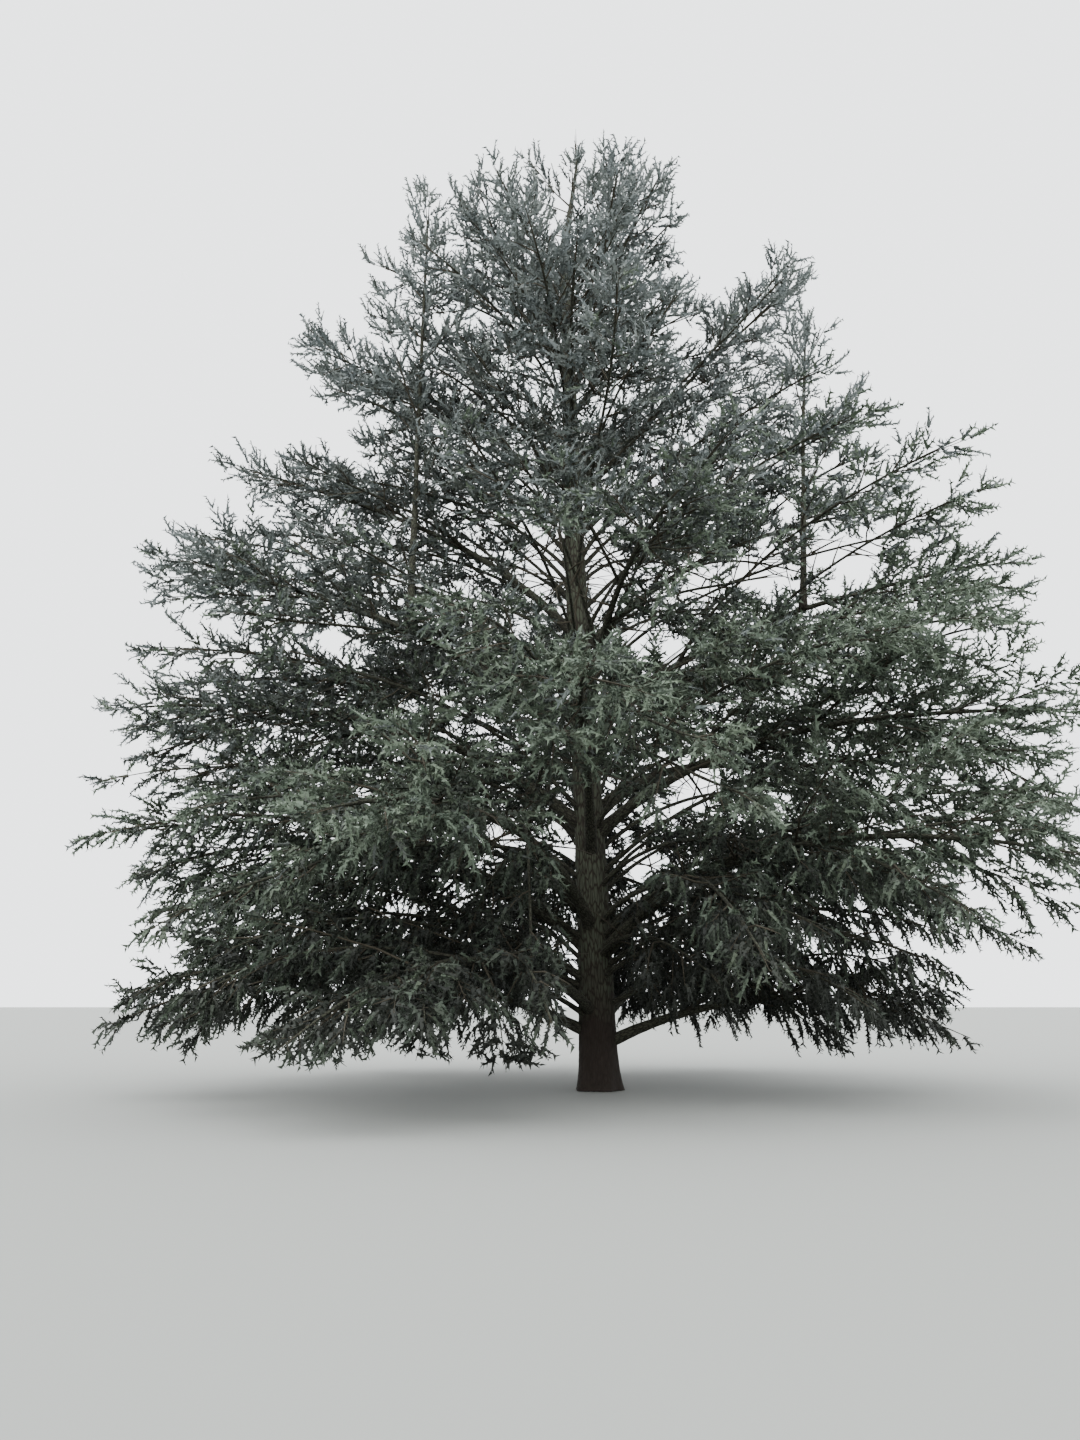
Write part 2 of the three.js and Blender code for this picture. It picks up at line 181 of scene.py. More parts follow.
def sweep_mesh(name, sweeps):
    """One mesh of closed tubes. A sweep is its rings, as rows of points, and each ring's distance along it.
    The attribute "grain" has each point's place on the same tube laid straight, for bark that follows it."""
    points, faces, grain = [], [], []
    for rings, distances in sweeps:
        count, sides = rings.shape[:2]
        first = sum(len(block) for block in points)
        centres = rings.mean(1, keepdims=True)
        radii = np.linalg.norm(rings - centres, axis=2)
        turns = even_turns(sides)
        straight = np.stack([np.cos(turns) * radii, np.sin(turns) * radii,
                             np.repeat(distances[:, None], sides, 1)], -1)
        ends = np.stack([rings[0].mean(0), rings[-1].mean(0)])
        points += [rings.reshape(-1, 3), ends]
        grain += [straight.reshape(-1, 3), [[0, 0, distances[0]], [0, 0, distances[-1]]]]
        ring, side = np.meshgrid(np.arange(count - 1), np.arange(sides), indexing="ij")
        near = first + ring * sides + side
        far = first + ring * sides + (side + 1) % sides
        faces.append(np.stack([near, far, far + sides, near + sides], -1).reshape(-1, 4))
        here = np.arange(sides)
        beyond = (here + 1) % sides
        foot = first + count * sides
        last = foot - sides
        faces.append(np.stack([first + beyond, first + here, np.full(sides, foot)], -1))
        faces.append(np.stack([last + here, last + beyond, np.full(sides, foot + 1)], -1))
    mesh = bpy.data.meshes.new(name)
    mesh.from_pydata(np.concatenate(points), [], [face for block in faces for face in block.tolist()])
    add_attribute(mesh, "grain", "FLOAT_VECTOR", np.concatenate(grain))
    return mesh


# The cracks between the plates wander: how finely and how far, in widths and lengths of a plate.
WANDER_SCALE = 0.7
WANDER = (0.9, 0.9, 0.9)


def crack_distance(tree, place):
    """How far a place on the bark, given in widths and lengths of a plate, lies from the nearest crack."""
    noise = add_node(tree, "ShaderNodeTexNoise", {"Vector": place, "Scale": WANDER_SCALE})
    wandering = add_node(tree, "ShaderNodeVectorMath", {
        0: noise.outputs["Color"], 1: WANDER, 2: place}, operation="MULTIPLY_ADD")
    plates = add_node(tree, "ShaderNodeTexVoronoi", {"Vector": wandering.outputs[0], "Scale": 1.0},
                      feature="DISTANCE_TO_EDGE")
    return plates.outputs["Distance"]


# The relief of bark: cracks between long plates that follow the grain, and a fine roughness on the plates.
bark_tree, asked, BARK_INPUTS = new_tree("bark relief", {
    "Plate Width": "Float", "Plate Length": "Float", "Crack Depth": "Float", "Roughness": "Float",
    "Material": "Material"})
grain_place = add_node(bark_tree, "GeometryNodeInputNamedAttribute", {"Name": "grain"},
                       data_type="FLOAT_VECTOR")
plate_size = add_node(bark_tree, "ShaderNodeCombineXYZ", {
    "X": asked["Plate Width"], "Y": asked["Plate Width"], "Z": asked["Plate Length"]})
plate_place = add_node(bark_tree, "ShaderNodeVectorMath", {
    0: grain_place.outputs[0], 1: plate_size.outputs[0]}, operation="DIVIDE")
crack = add_node(bark_tree, "ShaderNodeMapRange", {
    "Value": crack_distance(bark_tree, plate_place.outputs[0]), "From Min": 0.0, "From Max": 0.22,
    "To Min": -1.0, "To Max": 0.0}, interpolation_type="SMOOTHSTEP")
cut = add_node(bark_tree, "ShaderNodeMath", {
    0: crack.outputs[0], 1: asked["Crack Depth"]}, operation="MULTIPLY")
rough = add_node(bark_tree, "ShaderNodeTexNoise", {
    "Vector": plate_place.outputs[0], "Scale": 1.9, "Detail": 3.0})
uneven = add_node(bark_tree, "ShaderNodeMath", {0: rough.outputs[0], 1: 0.5}, operation="SUBTRACT")
relief = add_node(bark_tree, "ShaderNodeMath", {
    0: uneven.outputs[0], 1: asked["Roughness"], 2: cut.outputs[0]}, operation="MULTIPLY_ADD")
normal = add_node(bark_tree, "GeometryNodeInputNormal")
offset = add_node(bark_tree, "ShaderNodeVectorMath", {0: normal.outputs[0], "Scale": relief.outputs[0]},
                  operation="SCALE")
pressed = add_node(bark_tree, "GeometryNodeSetPosition", {
    "Geometry": asked["Geometry"], "Offset": offset.outputs[0]})
smooth = add_node(bark_tree, "GeometryNodeSetShadeSmooth", {"Geometry": pressed.outputs[0]})
end_tree(bark_tree, smooth.outputs[0], asked["Material"])

# The film of algae: how far its edge wanders, and where it starts and is full past the darker stretch at the
# foot.
FILM_WANDER = 4.0
FILM_START = 1.4
FILM_FULL = 2.8


def bark_material(name, ridge, crack_tone_and_shade, algae, plate_width, plate_length, damp_and_shaded_foot=0):
    """Dry, matt bark: paler on the ridges of its plates and dark in the cracks, partly its own colour and
    partly painted shade in them, with a film of algae in patches past a darker stretch at its foot, partly
    damp, dirty bark and partly painted shade. A fine speckle varies its tone, painted lighter on the bump's
    raised spots."""
    material, tree, shader = new_material(name, roughness=0.92, specular=0.25)
    place = add_node(tree, "ShaderNodeAttribute", attribute_name="grain")
    scaled = add_node(tree, "ShaderNodeVectorMath", {
        0: place.outputs["Vector"], 1: (1 / plate_width, 1 / plate_width, 1 / plate_length)},
        operation="MULTIPLY")
    depth = add_node(tree, "ShaderNodeMapRange", {
        "Value": crack_distance(tree, scaled.outputs[0]), "From Max": 0.2}, interpolation_type="SMOOTHSTEP")
    fine = add_node(tree, "ShaderNodeTexNoise", {"Vector": scaled.outputs[0], "Scale": 3.1, "Detail": 5.0})
    patches = add_node(tree, "ShaderNodeTexNoise", {
        "Vector": place.outputs["Vector"], "Scale": 1.3, "Detail": 3.0})
    along = add_node(tree, "ShaderNodeSeparateXYZ", {0: place.outputs["Vector"]})
    edge = add_node(tree, "ShaderNodeMath", {
        0: patches.outputs[0], 1: FILM_WANDER, 2: along.outputs[2]}, operation="MULTIPLY_ADD")
    film = add_node(tree, "ShaderNodeMapRange", {
        "Value": edge.outputs[0], "From Min": damp_and_shaded_foot + FILM_START, "From Max": damp_and_shaded_foot + FILM_FULL})
    surface = add_node(tree, "ShaderNodeMix", {
        0: film.outputs[0], 6: linear(ridge), 7: linear(algae)}, data_type="RGBA")
    body = add_node(tree, "ShaderNodeMix", {
        0: depth.outputs[0], 6: linear(crack_tone_and_shade), 7: surface.outputs[2]}, data_type="RGBA")
    # A random speckle from the same noise as the bump: painted light on its raised spots and painted shade in
    # its hollows.
    lights = add_node(tree, "ShaderNodeMapRange", {
        "Value": fine.outputs[0], "From Min": 0.3, "From Max": 0.7, "To Min": 0.8, "To Max": 1.2})
    shaded = add_node(tree, "ShaderNodeVectorMath", {0: body.outputs[2], "Scale": lights.outputs[0]},
                      operation="SCALE")
    tree.links.new(shaded.outputs[0], shader.inputs["Base Color"])
    bump = add_node(tree, "ShaderNodeBump", {"Height": fine.outputs[0], "Strength": 0.5, "Distance": 0.006})
    tree.links.new(bump.outputs[0], shader.inputs["Normal"])
    return material


# The plates are about 55 mm wide and five times as long.
TRUNK_PLATE = (0.055, 0.26)
# The trunk's foot keeps no film and is darker: partly damp, dirty bark and partly painted shade under the
# skirt.
trunk_bark = bark_material("old cedar bark", "#2a2420", "#26201b", "#42463a", *TRUNK_PLATE, damp_and_shaded_foot=1.6)

heights = TRUNK_TOP * np.linspace(0, 1, TRUNK_RINGS) ** RING_CROWDING
turns = even_turns(TRUNK_SIDES)
radii = trunk_radius(heights[:, None], turns[None, :])
around = np.stack([np.cos(turns), np.sin(turns), np.zeros(TRUNK_SIDES)], -1)
trunk_rings = trunk_axis(heights)[:, None] + radii[..., None] * around
trunk = run_tree("trunk_bark", sweep_mesh("trunk", [(trunk_rings, heights)]), bark_tree, BARK_INPUTS, {
    "Plate Width": TRUNK_PLATE[0], "Plate Length": TRUNK_PLATE[1], "Crack Depth": 0.007, "Roughness": 0.016,
    "Material": trunk_bark})
lift_to_ground(trunk)
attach(trunk, "root")
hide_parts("trunk")


# Boughs, leaders and the stems of the masses
# Living limbs that leave the trunk from a swollen collar, rise and level out, and two leaders that stand on
# boughs. Each runs on as the stem of its mass of twigs, in one sweep. Their bark is finer than the trunk's.

SEED_STEP = 7919
SEED_SHIFT = 12345
DRAW_STEP = 1664525
DRAW_SHIFT = 1013904223
DRAW_RANGE = 2 ** 32
STEM_END = 0.84
STEM_TIP_RADIUS = 0.02
TAPER_POWER = 0.85
COLLAR_REACH = 0.78
COLLAR_SWELL = 0.35
CURVE_HANDLE = 0.36
CURVE_POINTS = 201
SLOPE_STEP = 1e-4
LIMB_SWAY = 0.05
GOLDEN_TURN = 137.5
ARM_BARE = 0.6

# name, foot, step, rise, fall, radius, bare, spread, [(bearing, reach, tip height), ...]
TIERS = [
    ("skirt", 0.76, 0.19, 27, -26, 0.1, 0.3, 3.1,
     [(350, 6.8, 0.95), (62, 8.7, 1.15), (128, 8.7, 1.1), (190, 9.0, 1.15), (242, 9.1, 0.95)]),
    ("lower", 2.3, 0.18, 44, -17, 0.128, 0.3, 3.5,
     [(318, 9.5, 3.5), (24, 9.5, 3.9), (96, 9.3, 4.0), (176, 9.5, 4.1), (246, 9.4, 3.8)]),
    ("broad", 4.3, 0.19, 42, -9, 0.118, 0.28, 3.5,
     [(268, 9.0, 5.7), (334, 9.5, 6.3), (44, 9.4, 6.6), (112, 9.4, 6.9), (190, 9.5, 7.0)]),
    ("middle", 6.3, 0.2, 46, 3, 0.106, 0.32, 3.1,
     [(208, 8.7, 9.2), (338, 8.6, 9.5), (282, 6.9, 9.3), (52, 8.4, 9.8), (128, 8.5, 10.0)]),
    ("upper", 8.6, 0.3, 50, 12, 0.094, 0.32, 3.0,
     [(8, 7.3, 12.4), (90, 7.0, 12.7), (188, 7.5, 12.5)]),
    ("spur", 12.0, 0.0, 50, 42, 0.07, 0.5, 2.2,
     [(3, 5.6, 18.0)]),
    ("high", 11.3, 0.35, 52, 24, 0.07, 0.0, 2.7,
     [(84, 5.6, 16.3), (172, 6.2, 15.9), (270, 4.7, 15.3)]),
    ("crown", 14.5, 0.35, 60, 45, 0.054, 0.0, 2.3,
     [(314, 2.9, 18.9), (92, 3.0, 19.9), (214, 2.9, 18.6)]),
]
# name, arm, distance along the arm, height, lean, radius, bare, spread
LEADERS = [
    ("left_leader", "middle_1", 3.8, 10.3, -0.15, 0.078, 0.24, 2.1),
    ("right_leader", "middle_2", 4.5, 6.6, 0.5, 0.07, 0.26, 2.1),
]
# The inner control points of a leader's curve, in shares of its lean and height.
LEADER_HANDLES = ((0.35, 0.33), (0.4, 0.66))
TOP_HEIGHT = 2.75
TOP_LEAN = 0.35
TOP_SPREAD = 2.0
# The seeds of the first tier's limbs, of the leaders and of the top.
TIER_SEED = 100
LEADER_SEED = 900
TOP_SEED = 950


def seeded(seed):
    """The row of chance numbers from 0 to 1 that the solids' masses are grown from."""
    state = (seed * SEED_STEP + SEED_SHIFT) % DRAW_RANGE
    while True:
        state = (state * DRAW_STEP + DRAW_SHIFT) % DRAW_RANGE
        yield state / DRAW_RANGE


def unit(v):
    v = np.asarray(v, float)
    return v / np.linalg.norm(v, axis=-1, keepdims=True)


class Limb:
    """A limb's curve: four control points in its own frame, set at a place and turned to a bearing."""

    def __init__(self, name, place, bearing, control, radius, bare, spread, seed, upright=False):
        self.name, self.place, self.bearing = name, np.asarray(place), bearing
        self.control = np.array(control)
        self.radius, self.bare, self.spread, self.seed = radius, bare, spread, seed
        self.upright = upright
        turn = math.radians(bearing)
        out, beside = (math.cos(turn), math.sin(turn), 0), (-math.sin(turn), math.cos(turn), 0)
        self.turning = np.stack([out, beside, (0, 0, 1)], -1)

    def local(self, t):
        t = np.asarray(t, float)[..., None]
        a, b, c, d = self.control
        return (1 - t) ** 3 * a + 3 * (1 - t) ** 2 * t * b + 3 * (1 - t) * t ** 2 * c + t ** 3 * d

    def point(self, t):
        return self.local(t) @ self.turning.T + self.place

    def direction(self, t):
        before = np.clip(np.asarray(t) - SLOPE_STEP, 0, 1)
        after = np.clip(np.asarray(t) + SLOPE_STEP, 0, 1)
        return unit((self.local(after) - self.local(before)) @ self.turning.T)

    def side(self):
        """The level direction that is square to the limb's bearing."""
        return self.turning @ np.array([0.0, 1.0, 0.0])

    def thickness(self, t):
        return self.radius + (STEM_TIP_RADIUS - self.radius) * np.asarray(t) ** TAPER_POWER

    def length(self):
        return np.linalg.norm(np.diff(self.local(np.linspace(0, 1, CURVE_POINTS)), axis=0), axis=1).sum()


def rising_curve(reach, climb, rise, fall, sway):
    """The control points of a limb that leaves at one slope and ends at another."""
    handle = CURVE_HANDLE * math.hypot(reach, climb)
    up, down = math.radians(rise), math.radians(fall)
    return [(0, 0, 0), (handle * math.cos(up), 0, handle * math.sin(up)),
            (reach - handle * math.cos(down), sway, climb - handle * math.sin(down)), (reach, 0, climb)]


def to_side(number):
    """Limbs and forks go by turns to one side and to the other."""
    return 1 if number % 2 else -1


limbs = []
for row, (tier, foot, step, rise, fall, radius, bare, spread, tips) in enumerate(TIERS):
    for number, (bearing, reach, tip) in enumerate(tips):
        start = foot + step * ((2 * number) % len(tips))
        curve = rising_curve(reach, tip - start, rise, fall, LIMB_SWAY * reach * to_side(number))
        limb = Limb(f"{tier}_{number + 1}", trunk_axis(start), bearing, curve, radius, bare, spread,
                    TIER_SEED * (row + 1) + number)
        limb.fall = fall
        limbs.append(limb)
by_name = {limb.name: limb for limb in limbs}
for number, (name, arm_name, distance, height, lean, radius, bare, spread) in enumerate(LEADERS):
    arm = by_name[arm_name]
    arm.bare = ARM_BARE
    along_arm = arm.local(np.linspace(0, 1, CURVE_POINTS))
    foot = along_arm[np.argmax(along_arm[:, 0] > distance)]
    handles = [(sideways * lean, 0, up * height) for sideways, up in LEADER_HANDLES]
    curve = [(0, 0, 0), *handles, (lean, 0, height)]
    limbs.append(Limb(name, arm.turning @ foot + arm.place, arm.bearing, curve, radius, bare, spread,
                      LEADER_SEED + number, True))
top_line = [(share * TOP_LEAN, 0, share * TOP_HEIGHT) for share in (0, 1 / 3, 2 / 3, 1)]
limbs.append(Limb("top", trunk_axis(TRUNK_TOP), 0, top_line, trunk_radius(TRUNK_TOP, 0), 0, TOP_SPREAD,
                  TOP_SEED, True))

# Forks leave each bough to either side and lie in layers over and under it, at these heights over it.
# A pair of sizes here and below is the least size and how much more it can be by chance.
FORK_SHARES = (0.24, 0.36, 0.5, 0.64)
FORK_LAYERS = {"skirt": (1.1, 0.2, 0.6, 0.3), "lower": (-1.3, 0.9, -0.8, 0.5),
               "broad": (0.9, -1.3, 0.7, -1.0), "middle": (0.9, -1.1, 0.7, -1.0),
               "spur": (-0.9, -0.5, -0.8, -0.3)}
OTHER_LAYERS = (0.8, -0.6, 0.6, 0.3)
FORK_SHIFT = 0.05
FORK_REACH = (0.76, 0.26)
FORK_TURN = (18, 24)
FORK_CLIMB = 0.85
FORK_LIFT = (0.7, 0.6)
LOWEST_FORK = 0.9
FORK_RISE = 6
LAYER_RISE = 14
STEEPEST_RISE = 75
FORK_FALL = 6
FORK_SWAY = 0.05
FORK_THICKNESS = 0.5
FORK_SPREAD = 0.5
FORK_BARE = 0.1
# A fork that would leave the box is shortened in steps of this.
SHORTENING = 0.95
# Short forks of the lower boughs hang down near the trunk.
HANGING_SHARES = (0.12, 0.19, 0.27, 0.36)
HANGING_TURN = (25, 20)
HANGING_REACH = 2.6
HANGING_SCATTER = (0.7, 0.5)
HANGING_TIP = 1.6
HANGING_RISE = 20
HANGING_FALL = -58
HANGING_RADIUS = 0.035
HANGING_SPREAD = 1.3
# The slopes at foot and tip and the radius of closing and lesser boughs, by the height of the foot.
LESSER_FEET = (1, 4, 18)
LESSER_HABITS = ((30, 44, 58), (-30, -12, 40), (0.05, 0.048, 0.035))
# Closing boughs fill the crown on the left between the tiers, on the right in front, right behind the trunk
# and on both sides below the top: foot, bearing, reach and tip height.
CLOSING_BOUGHS = [
    (3.2, 196, 9.3, 5.4), (1.9, 200, 8.2, 3.0), (5.6, 174, 9.1, 8.2), (7.0, 187, 8.7, 9.5),
    (9.0, 176, 7.5, 11.6), (1.2, 217, 8.3, 1.2), (2.1, 322, 6.8, 2.1), (1.4, 335, 5.9, 1.4),
    (3.5, 36, 5.2, 5.0), (4.3, 58, 4.6, 6.4), (2.6, 203, 9.4, 4.2), (12.6, 183, 4.6, 16.6),
    (1.7, 196, 7.6, 1.5), (14.2, 12, 3.4, 17.5), (11.3, 183, 5.2, 14.9), (10.6, 197, 5.3, 13.9),
    (10.4, 352, 6.0, 13.6), (11.1, 11, 5.4, 14.6), (10.0, 177, 4.8, 13.7), (9.7, 163, 5.2, 13.1),
    (1.9, 306, 6.5, 1.5), (2.9, 300, 6.4, 2.6), (3.6, 311, 7.6, 3.2), (2.3, 292, 4.6, 1.9),
]
CLOSING_SWAY = 0.03
CLOSING_BARE = 0.12
CLOSING_SPREAD = 2.2
# Lesser boughs stand on the trunk between the tiers, all round it, and keep within the crown's reach.
LESSER_BOUGHS = 84
LESSER_BEARING = 100
LESSER_FOOT = (1.3, 17.6)
LESSER_SHIFT = 0.5
LESSER_CROWDING = 1.3
CLIMB_FEET = (1.3, 4, 10, 18)
CLIMBS = (0.5, 1.8, 2.5, 1.9)
CLIMB_SCATTER = (0.75, 0.5)
REACH_SCATTER = (0.72, 0.27)
LESSER_SWAY = 0.05
LESSER_BARE = 0.25
LESSER_SPREAD = 2.0
CROWN_HEIGHTS = [0, 3, 4.5, 7.5, 10, 12.3, 13.4, 14.6, 16, 18, 20, 21.5]
CROWN_REACHES = [8.4, 8.8, 9.7, 9.6, 8.8, 7.9, 6.2, 5.8, 5.9, 4.1, 1.9, 0.5]
# Stretches of bare trunk that show from the front: bottom, top and half the width of each gap in the foliage.
# What stands less than this in front of the trunk's middle can't hide it.
TRUNK_GAPS = [(0.0, 5.9, 0.62), (9.1, 11.4, 0.55)]
IN_FRONT = 0.6
# Where the sky shows right through the crown from the front, against the trunk's plane: middle, half width
# and half height of each opening. Their edges are ragged.
SKY_GAPS = [
    (-1.05, 10.6, 0.5, 0.85), (0.25, 10.5, 0.4, 0.75), (2.3, 10.25, 0.45, 0.55), (3.6, 10.4, 0.7, 0.55),
    (5.3, 10.9, 0.8, 0.45), (0.95, 9.0, 0.3, 0.4), (1.75, 8.6, 0.35, 0.35), (1.97, 5.95, 0.6, 0.7),
    (0.9, 4.35, 0.4, 0.35), (-1.85, 4.85, 0.45, 0.35),
]
RAGGED_EDGE = (0.7, 0.5)
# Notches in the outline from the front, given in the same way: no fork or spray reaches into them.
NOTCHES = [(-7.9, 14.2, 1.7, 0.7), (3.5, 18.5, 0.6, 0.9), (7.9, 1.2, 0.9, 0.9)]
EYE = np.array([-1.113, -21.475, 1.55])
# A limb is tested at this many points, and its tip at the last few of them.
TESTED_POINTS = 12
TESTED_TIP = 3
EDGE_SHARE = 0.02
low_corner, high_corner = (np.array(corner) for corner in CAD_BOX)
spare = EDGE_SHARE * (high_corner - low_corner) * (1, 1, 0)
low_corner, high_corner = low_corner - spare, high_corner + spare

CHANCE_SEED = 27
chance = np.random.default_rng(CHANCE_SEED)


def scattered(least, more):
    """A chance size from the least up to as much more."""
    return least + more * chance.random()


def seen_on_trunk(points):
    """Where points stand against the trunk's plane, seen from the front."""
    nearness = (points[:, 1] - EYE[1]) / -EYE[1]
    return EYE + (points - EYE) / nearness[:, None]


def in_gap(points, gaps=TRUNK_GAPS):
    """True if any point hides a stretch of trunk that shows, seen from the front."""
    seen = seen_on_trunk(points[points[:, 1] < -IN_FRONT])
    beside = np.abs(seen[:, 0] - trunk_axis(seen[:, 2])[:, 0])
    return any(((seen[:, 2] > low) & (seen[:, 2] < high) & (beside < width)).any()
               for low, high, width in gaps)


def in_opening(points, openings, edge=1.0):
    """True if any point stands in one of the openings, seen from the front. An edge over 1 widens them."""
    seen = seen_on_trunk(points)
    return any((np.hypot((seen[:, 0] - x) / width, (seen[:, 2] - z) / height) < edge).any()
               for x, z, width, height in openings)


def hides_sky(points):
    """True if any point stands in an opening where the sky shows, whose edges are ragged."""
    return in_opening(points, SKY_GAPS, scattered(*RAGGED_EDGE))


def leaves_open(limb, notches=NOTCHES):
    """True if a limb hides none of the lower stretch of trunk and its tip stands in none of the notches."""
    line = limb.point(np.linspace(0, 1, TESTED_POINTS))
    return not in_gap(line, TRUNK_GAPS[:1]) and not in_opening(line[-TESTED_TIP:], notches)


def heading_of(along):
    return math.degrees(math.atan2(along[1], along[0]))


def lesser_habit(foot):
    """A closing or lesser bough's slopes at its foot and its tip, and its radius."""
    return [np.interp(foot, LESSER_FEET, row) for row in LESSER_HABITS]


lesser = []
for limb in [limb for limb in limbs if not limb.upright]:
    tip = limb.point(1)
    layers = FORK_LAYERS.get(limb.name.split("_")[0], OTHER_LAYERS)
    for number, (share, layer) in enumerate(zip(FORK_SHARES, layers)):
        share += FORK_SHIFT * (chance.random() - 0.5)
        foot, along = limb.point(share), limb.direction(share)
        reach = np.linalg.norm((tip - foot)[:2]) * scattered(*FORK_REACH)
        turn = to_side(number) * scattered(*FORK_TURN)
        height = foot[2] + FORK_CLIMB * (tip[2] - foot[2]) + layer * scattered(*FORK_LIFT)
        climb = max(height, LOWEST_FORK) - foot[2]
        rise = min(math.degrees(math.asin(along[2])) + FORK_RISE + LAYER_RISE * layer, STEEPEST_RISE)
        heading = heading_of(along) + turn
        way = np.array([math.cos(math.radians(heading)), math.sin(math.radians(heading))])
        while ((foot[:2] + reach * way < low_corner[:2]) | (foot[:2] + reach * way > high_corner[:2])).any():
            reach *= SHORTENING
        curve = rising_curve(reach, climb, rise, limb.fall - FORK_FALL, FORK_SWAY * reach * chance.normal())
        radius = FORK_THICKNESS * limb.thickness(share)
        fork = Limb(f"{limb.name}_fork_{number}", foot, heading, curve, radius, FORK_BARE,
                    FORK_SPREAD * limb.spread, 0)
        if leaves_open(fork):
            lesser.append(fork)
for limb in [limb for limb in limbs if limb.name.startswith("lower")]:
    for number, share in enumerate(HANGING_SHARES):
        foot, along = limb.point(share), limb.direction(share)
        turn = to_side(number) * scattered(*HANGING_TURN)
        reach = HANGING_REACH * scattered(*HANGING_SCATTER)
        curve = rising_curve(reach, HANGING_TIP - foot[2], HANGING_RISE, HANGING_FALL, 0)
        fork = Limb(f"{limb.name}_hanging_{number}", foot, heading_of(along) + turn, curve, HANGING_RADIUS,
                    FORK_BARE, HANGING_SPREAD, 0)
        if leaves_open(fork, ()):
            lesser.append(fork)
for number, (foot, bearing, reach, tip) in enumerate(CLOSING_BOUGHS):
    rise, fall, radius = lesser_habit(foot)
    curve = rising_curve(reach, tip - foot, rise, fall, CLOSING_SWAY * reach)
    lesser.append(Limb(f"closing_{number}", trunk_axis(foot), bearing, curve, radius, CLOSING_BARE,
                       CLOSING_SPREAD, 0))
for number in range(LESSER_BOUGHS):
    rank = ((number + LESSER_SHIFT * chance.random()) / LESSER_BOUGHS) ** LESSER_CROWDING
    foot = LESSER_FOOT[0] + (LESSER_FOOT[1] - LESSER_FOOT[0]) * rank
    climb = np.interp(foot, CLIMB_FEET, CLIMBS) * scattered(*CLIMB_SCATTER)
    reach = np.interp(foot + climb, CROWN_HEIGHTS, CROWN_REACHES) * scattered(*REACH_SCATTER)
    rise, fall, radius = lesser_habit(foot)
    curve = rising_curve(reach, climb, rise, fall, LESSER_SWAY * reach * chance.normal())
    bough = Limb(f"lesser_{number}", trunk_axis(foot), GOLDEN_TURN * number + LESSER_BEARING, curve, radius,
                 LESSER_BARE, LESSER_SPREAD, 0)
    if leaves_open(bough):
        lesser.append(bough)

LIMB_SIDES = 14
LIMB_RING_STEP = 0.085
LESSER_SIDES = 7
LESSER_RING_STEP = 0.18
FEWEST_RINGS = 12
# How much of its thickness a stem loses past its end, and the least that is left.
END_THINNING = 0.75
THINNEST = 0.004
UNEVENNESS = 0.05
UNEVEN_TURN = 3.1
UNEVEN_REACH = 6


def limb_sweep(limb, sides, step):
    """The rings of a limb from inside what carries it to its tip, with a gentle unevenness along it."""
    count = max(FEWEST_RINGS, int(limb.length() / step))
    shares = np.linspace(0, 1, count)
    centres, tangents = limb.point(shares), limb.direction(shares)
    distances = np.concatenate([[0], np.linalg.norm(np.diff(centres, axis=0), axis=1).cumsum()])
    collar = 1 + COLLAR_SWELL * np.exp(-distances / COLLAR_REACH)
    thickness = limb.thickness(shares) * (collar if limb.bare > 0 else 1)
    past_end = np.clip((shares - STEM_END) / (1 - STEM_END), 0, 1)
    thickness = np.maximum(thickness * (1 - END_THINNING * past_end), THINNEST)
    beside = unit(np.cross(tangents, limb.side()))
    other = np.cross(tangents, beside)
    turns = even_turns(sides)
    ring = np.cos(turns)[None, :, None] * beside[:, None] + np.sin(turns)[None, :, None] * other[:, None]
    uneven = 1 + UNEVENNESS * np.sin(distances * UNEVEN_TURN + limb.seed) * np.exp(-distances / UNEVEN_REACH)
    return centres[:, None] + (thickness * uneven)[:, None, None] * ring, distances


# The plates on boughs are 15 to 30 mm wide in life, and are drawn a little wider to show.
BOUGH_PLATE = (0.035, 0.1)
bough_bark = bark_material("bough bark", "#342f29", "#1b1814", "#3b3d32", *BOUGH_PLATE)
sweeps = [limb_sweep(limb, LIMB_SIDES, LIMB_RING_STEP) for limb in limbs]
sweeps += [limb_sweep(limb, LESSER_SIDES, LESSER_RING_STEP) for limb in lesser]
boughs = run_tree("bough_bark", sweep_mesh("boughs", sweeps), bark_tree, BARK_INPUTS, {
    "Plate Width": BOUGH_PLATE[0], "Plate Length": BOUGH_PLATE[1], "Crack Depth": 0.005, "Roughness": 0.006,
    "Material": bough_bark})
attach(boughs, "root")
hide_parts(*[f"{limb.name}_bough" for limb in limbs if limb.bare > 0])


# Twigs
# Each stem carries twigs to its left and right, or all round where it is upright. A twig runs out into a flat
# spray of side twigs. Thin brown wood, swept along paths with a three-sided section.

TWIG_STEP = 0.56
FEWEST_TWIGS = 5
LAST_TWIG = 0.96
TWIG_THINNESS = 0.6
TWIG_TIP_RADIUS = 0.018
TWIG_TILT = 42
TWIG_ANGLE_FOOT = 66
TWIG_ANGLE_TIP = 36
TWIG_ANGLE_SCATTER = 4
TWIG_SCATTER = (0.85, 0.3)
# A twig's reach over its stem: its base value, and its weights on the place and on the square of the place.
TWIG_PROFILE = (0.75, 0.95, -1.35)
SPRAY_SHARE = 0.73
SPRAY_FORWARD = 0.3
SPRAY_CENTRE = 0.45
SPRAY_DROOP = 0.09
SPRAY_ROLL = 50
SPRAY_OUTLINE = np.array([(0.4, 0.31), (0.47, 0.08), (0.79, 0.26), (0.76, 0.06), (1, 0), (0.76, -0.06),
                          (0.79, -0.26), (0.47, -0.08), (0.4, -0.31)])
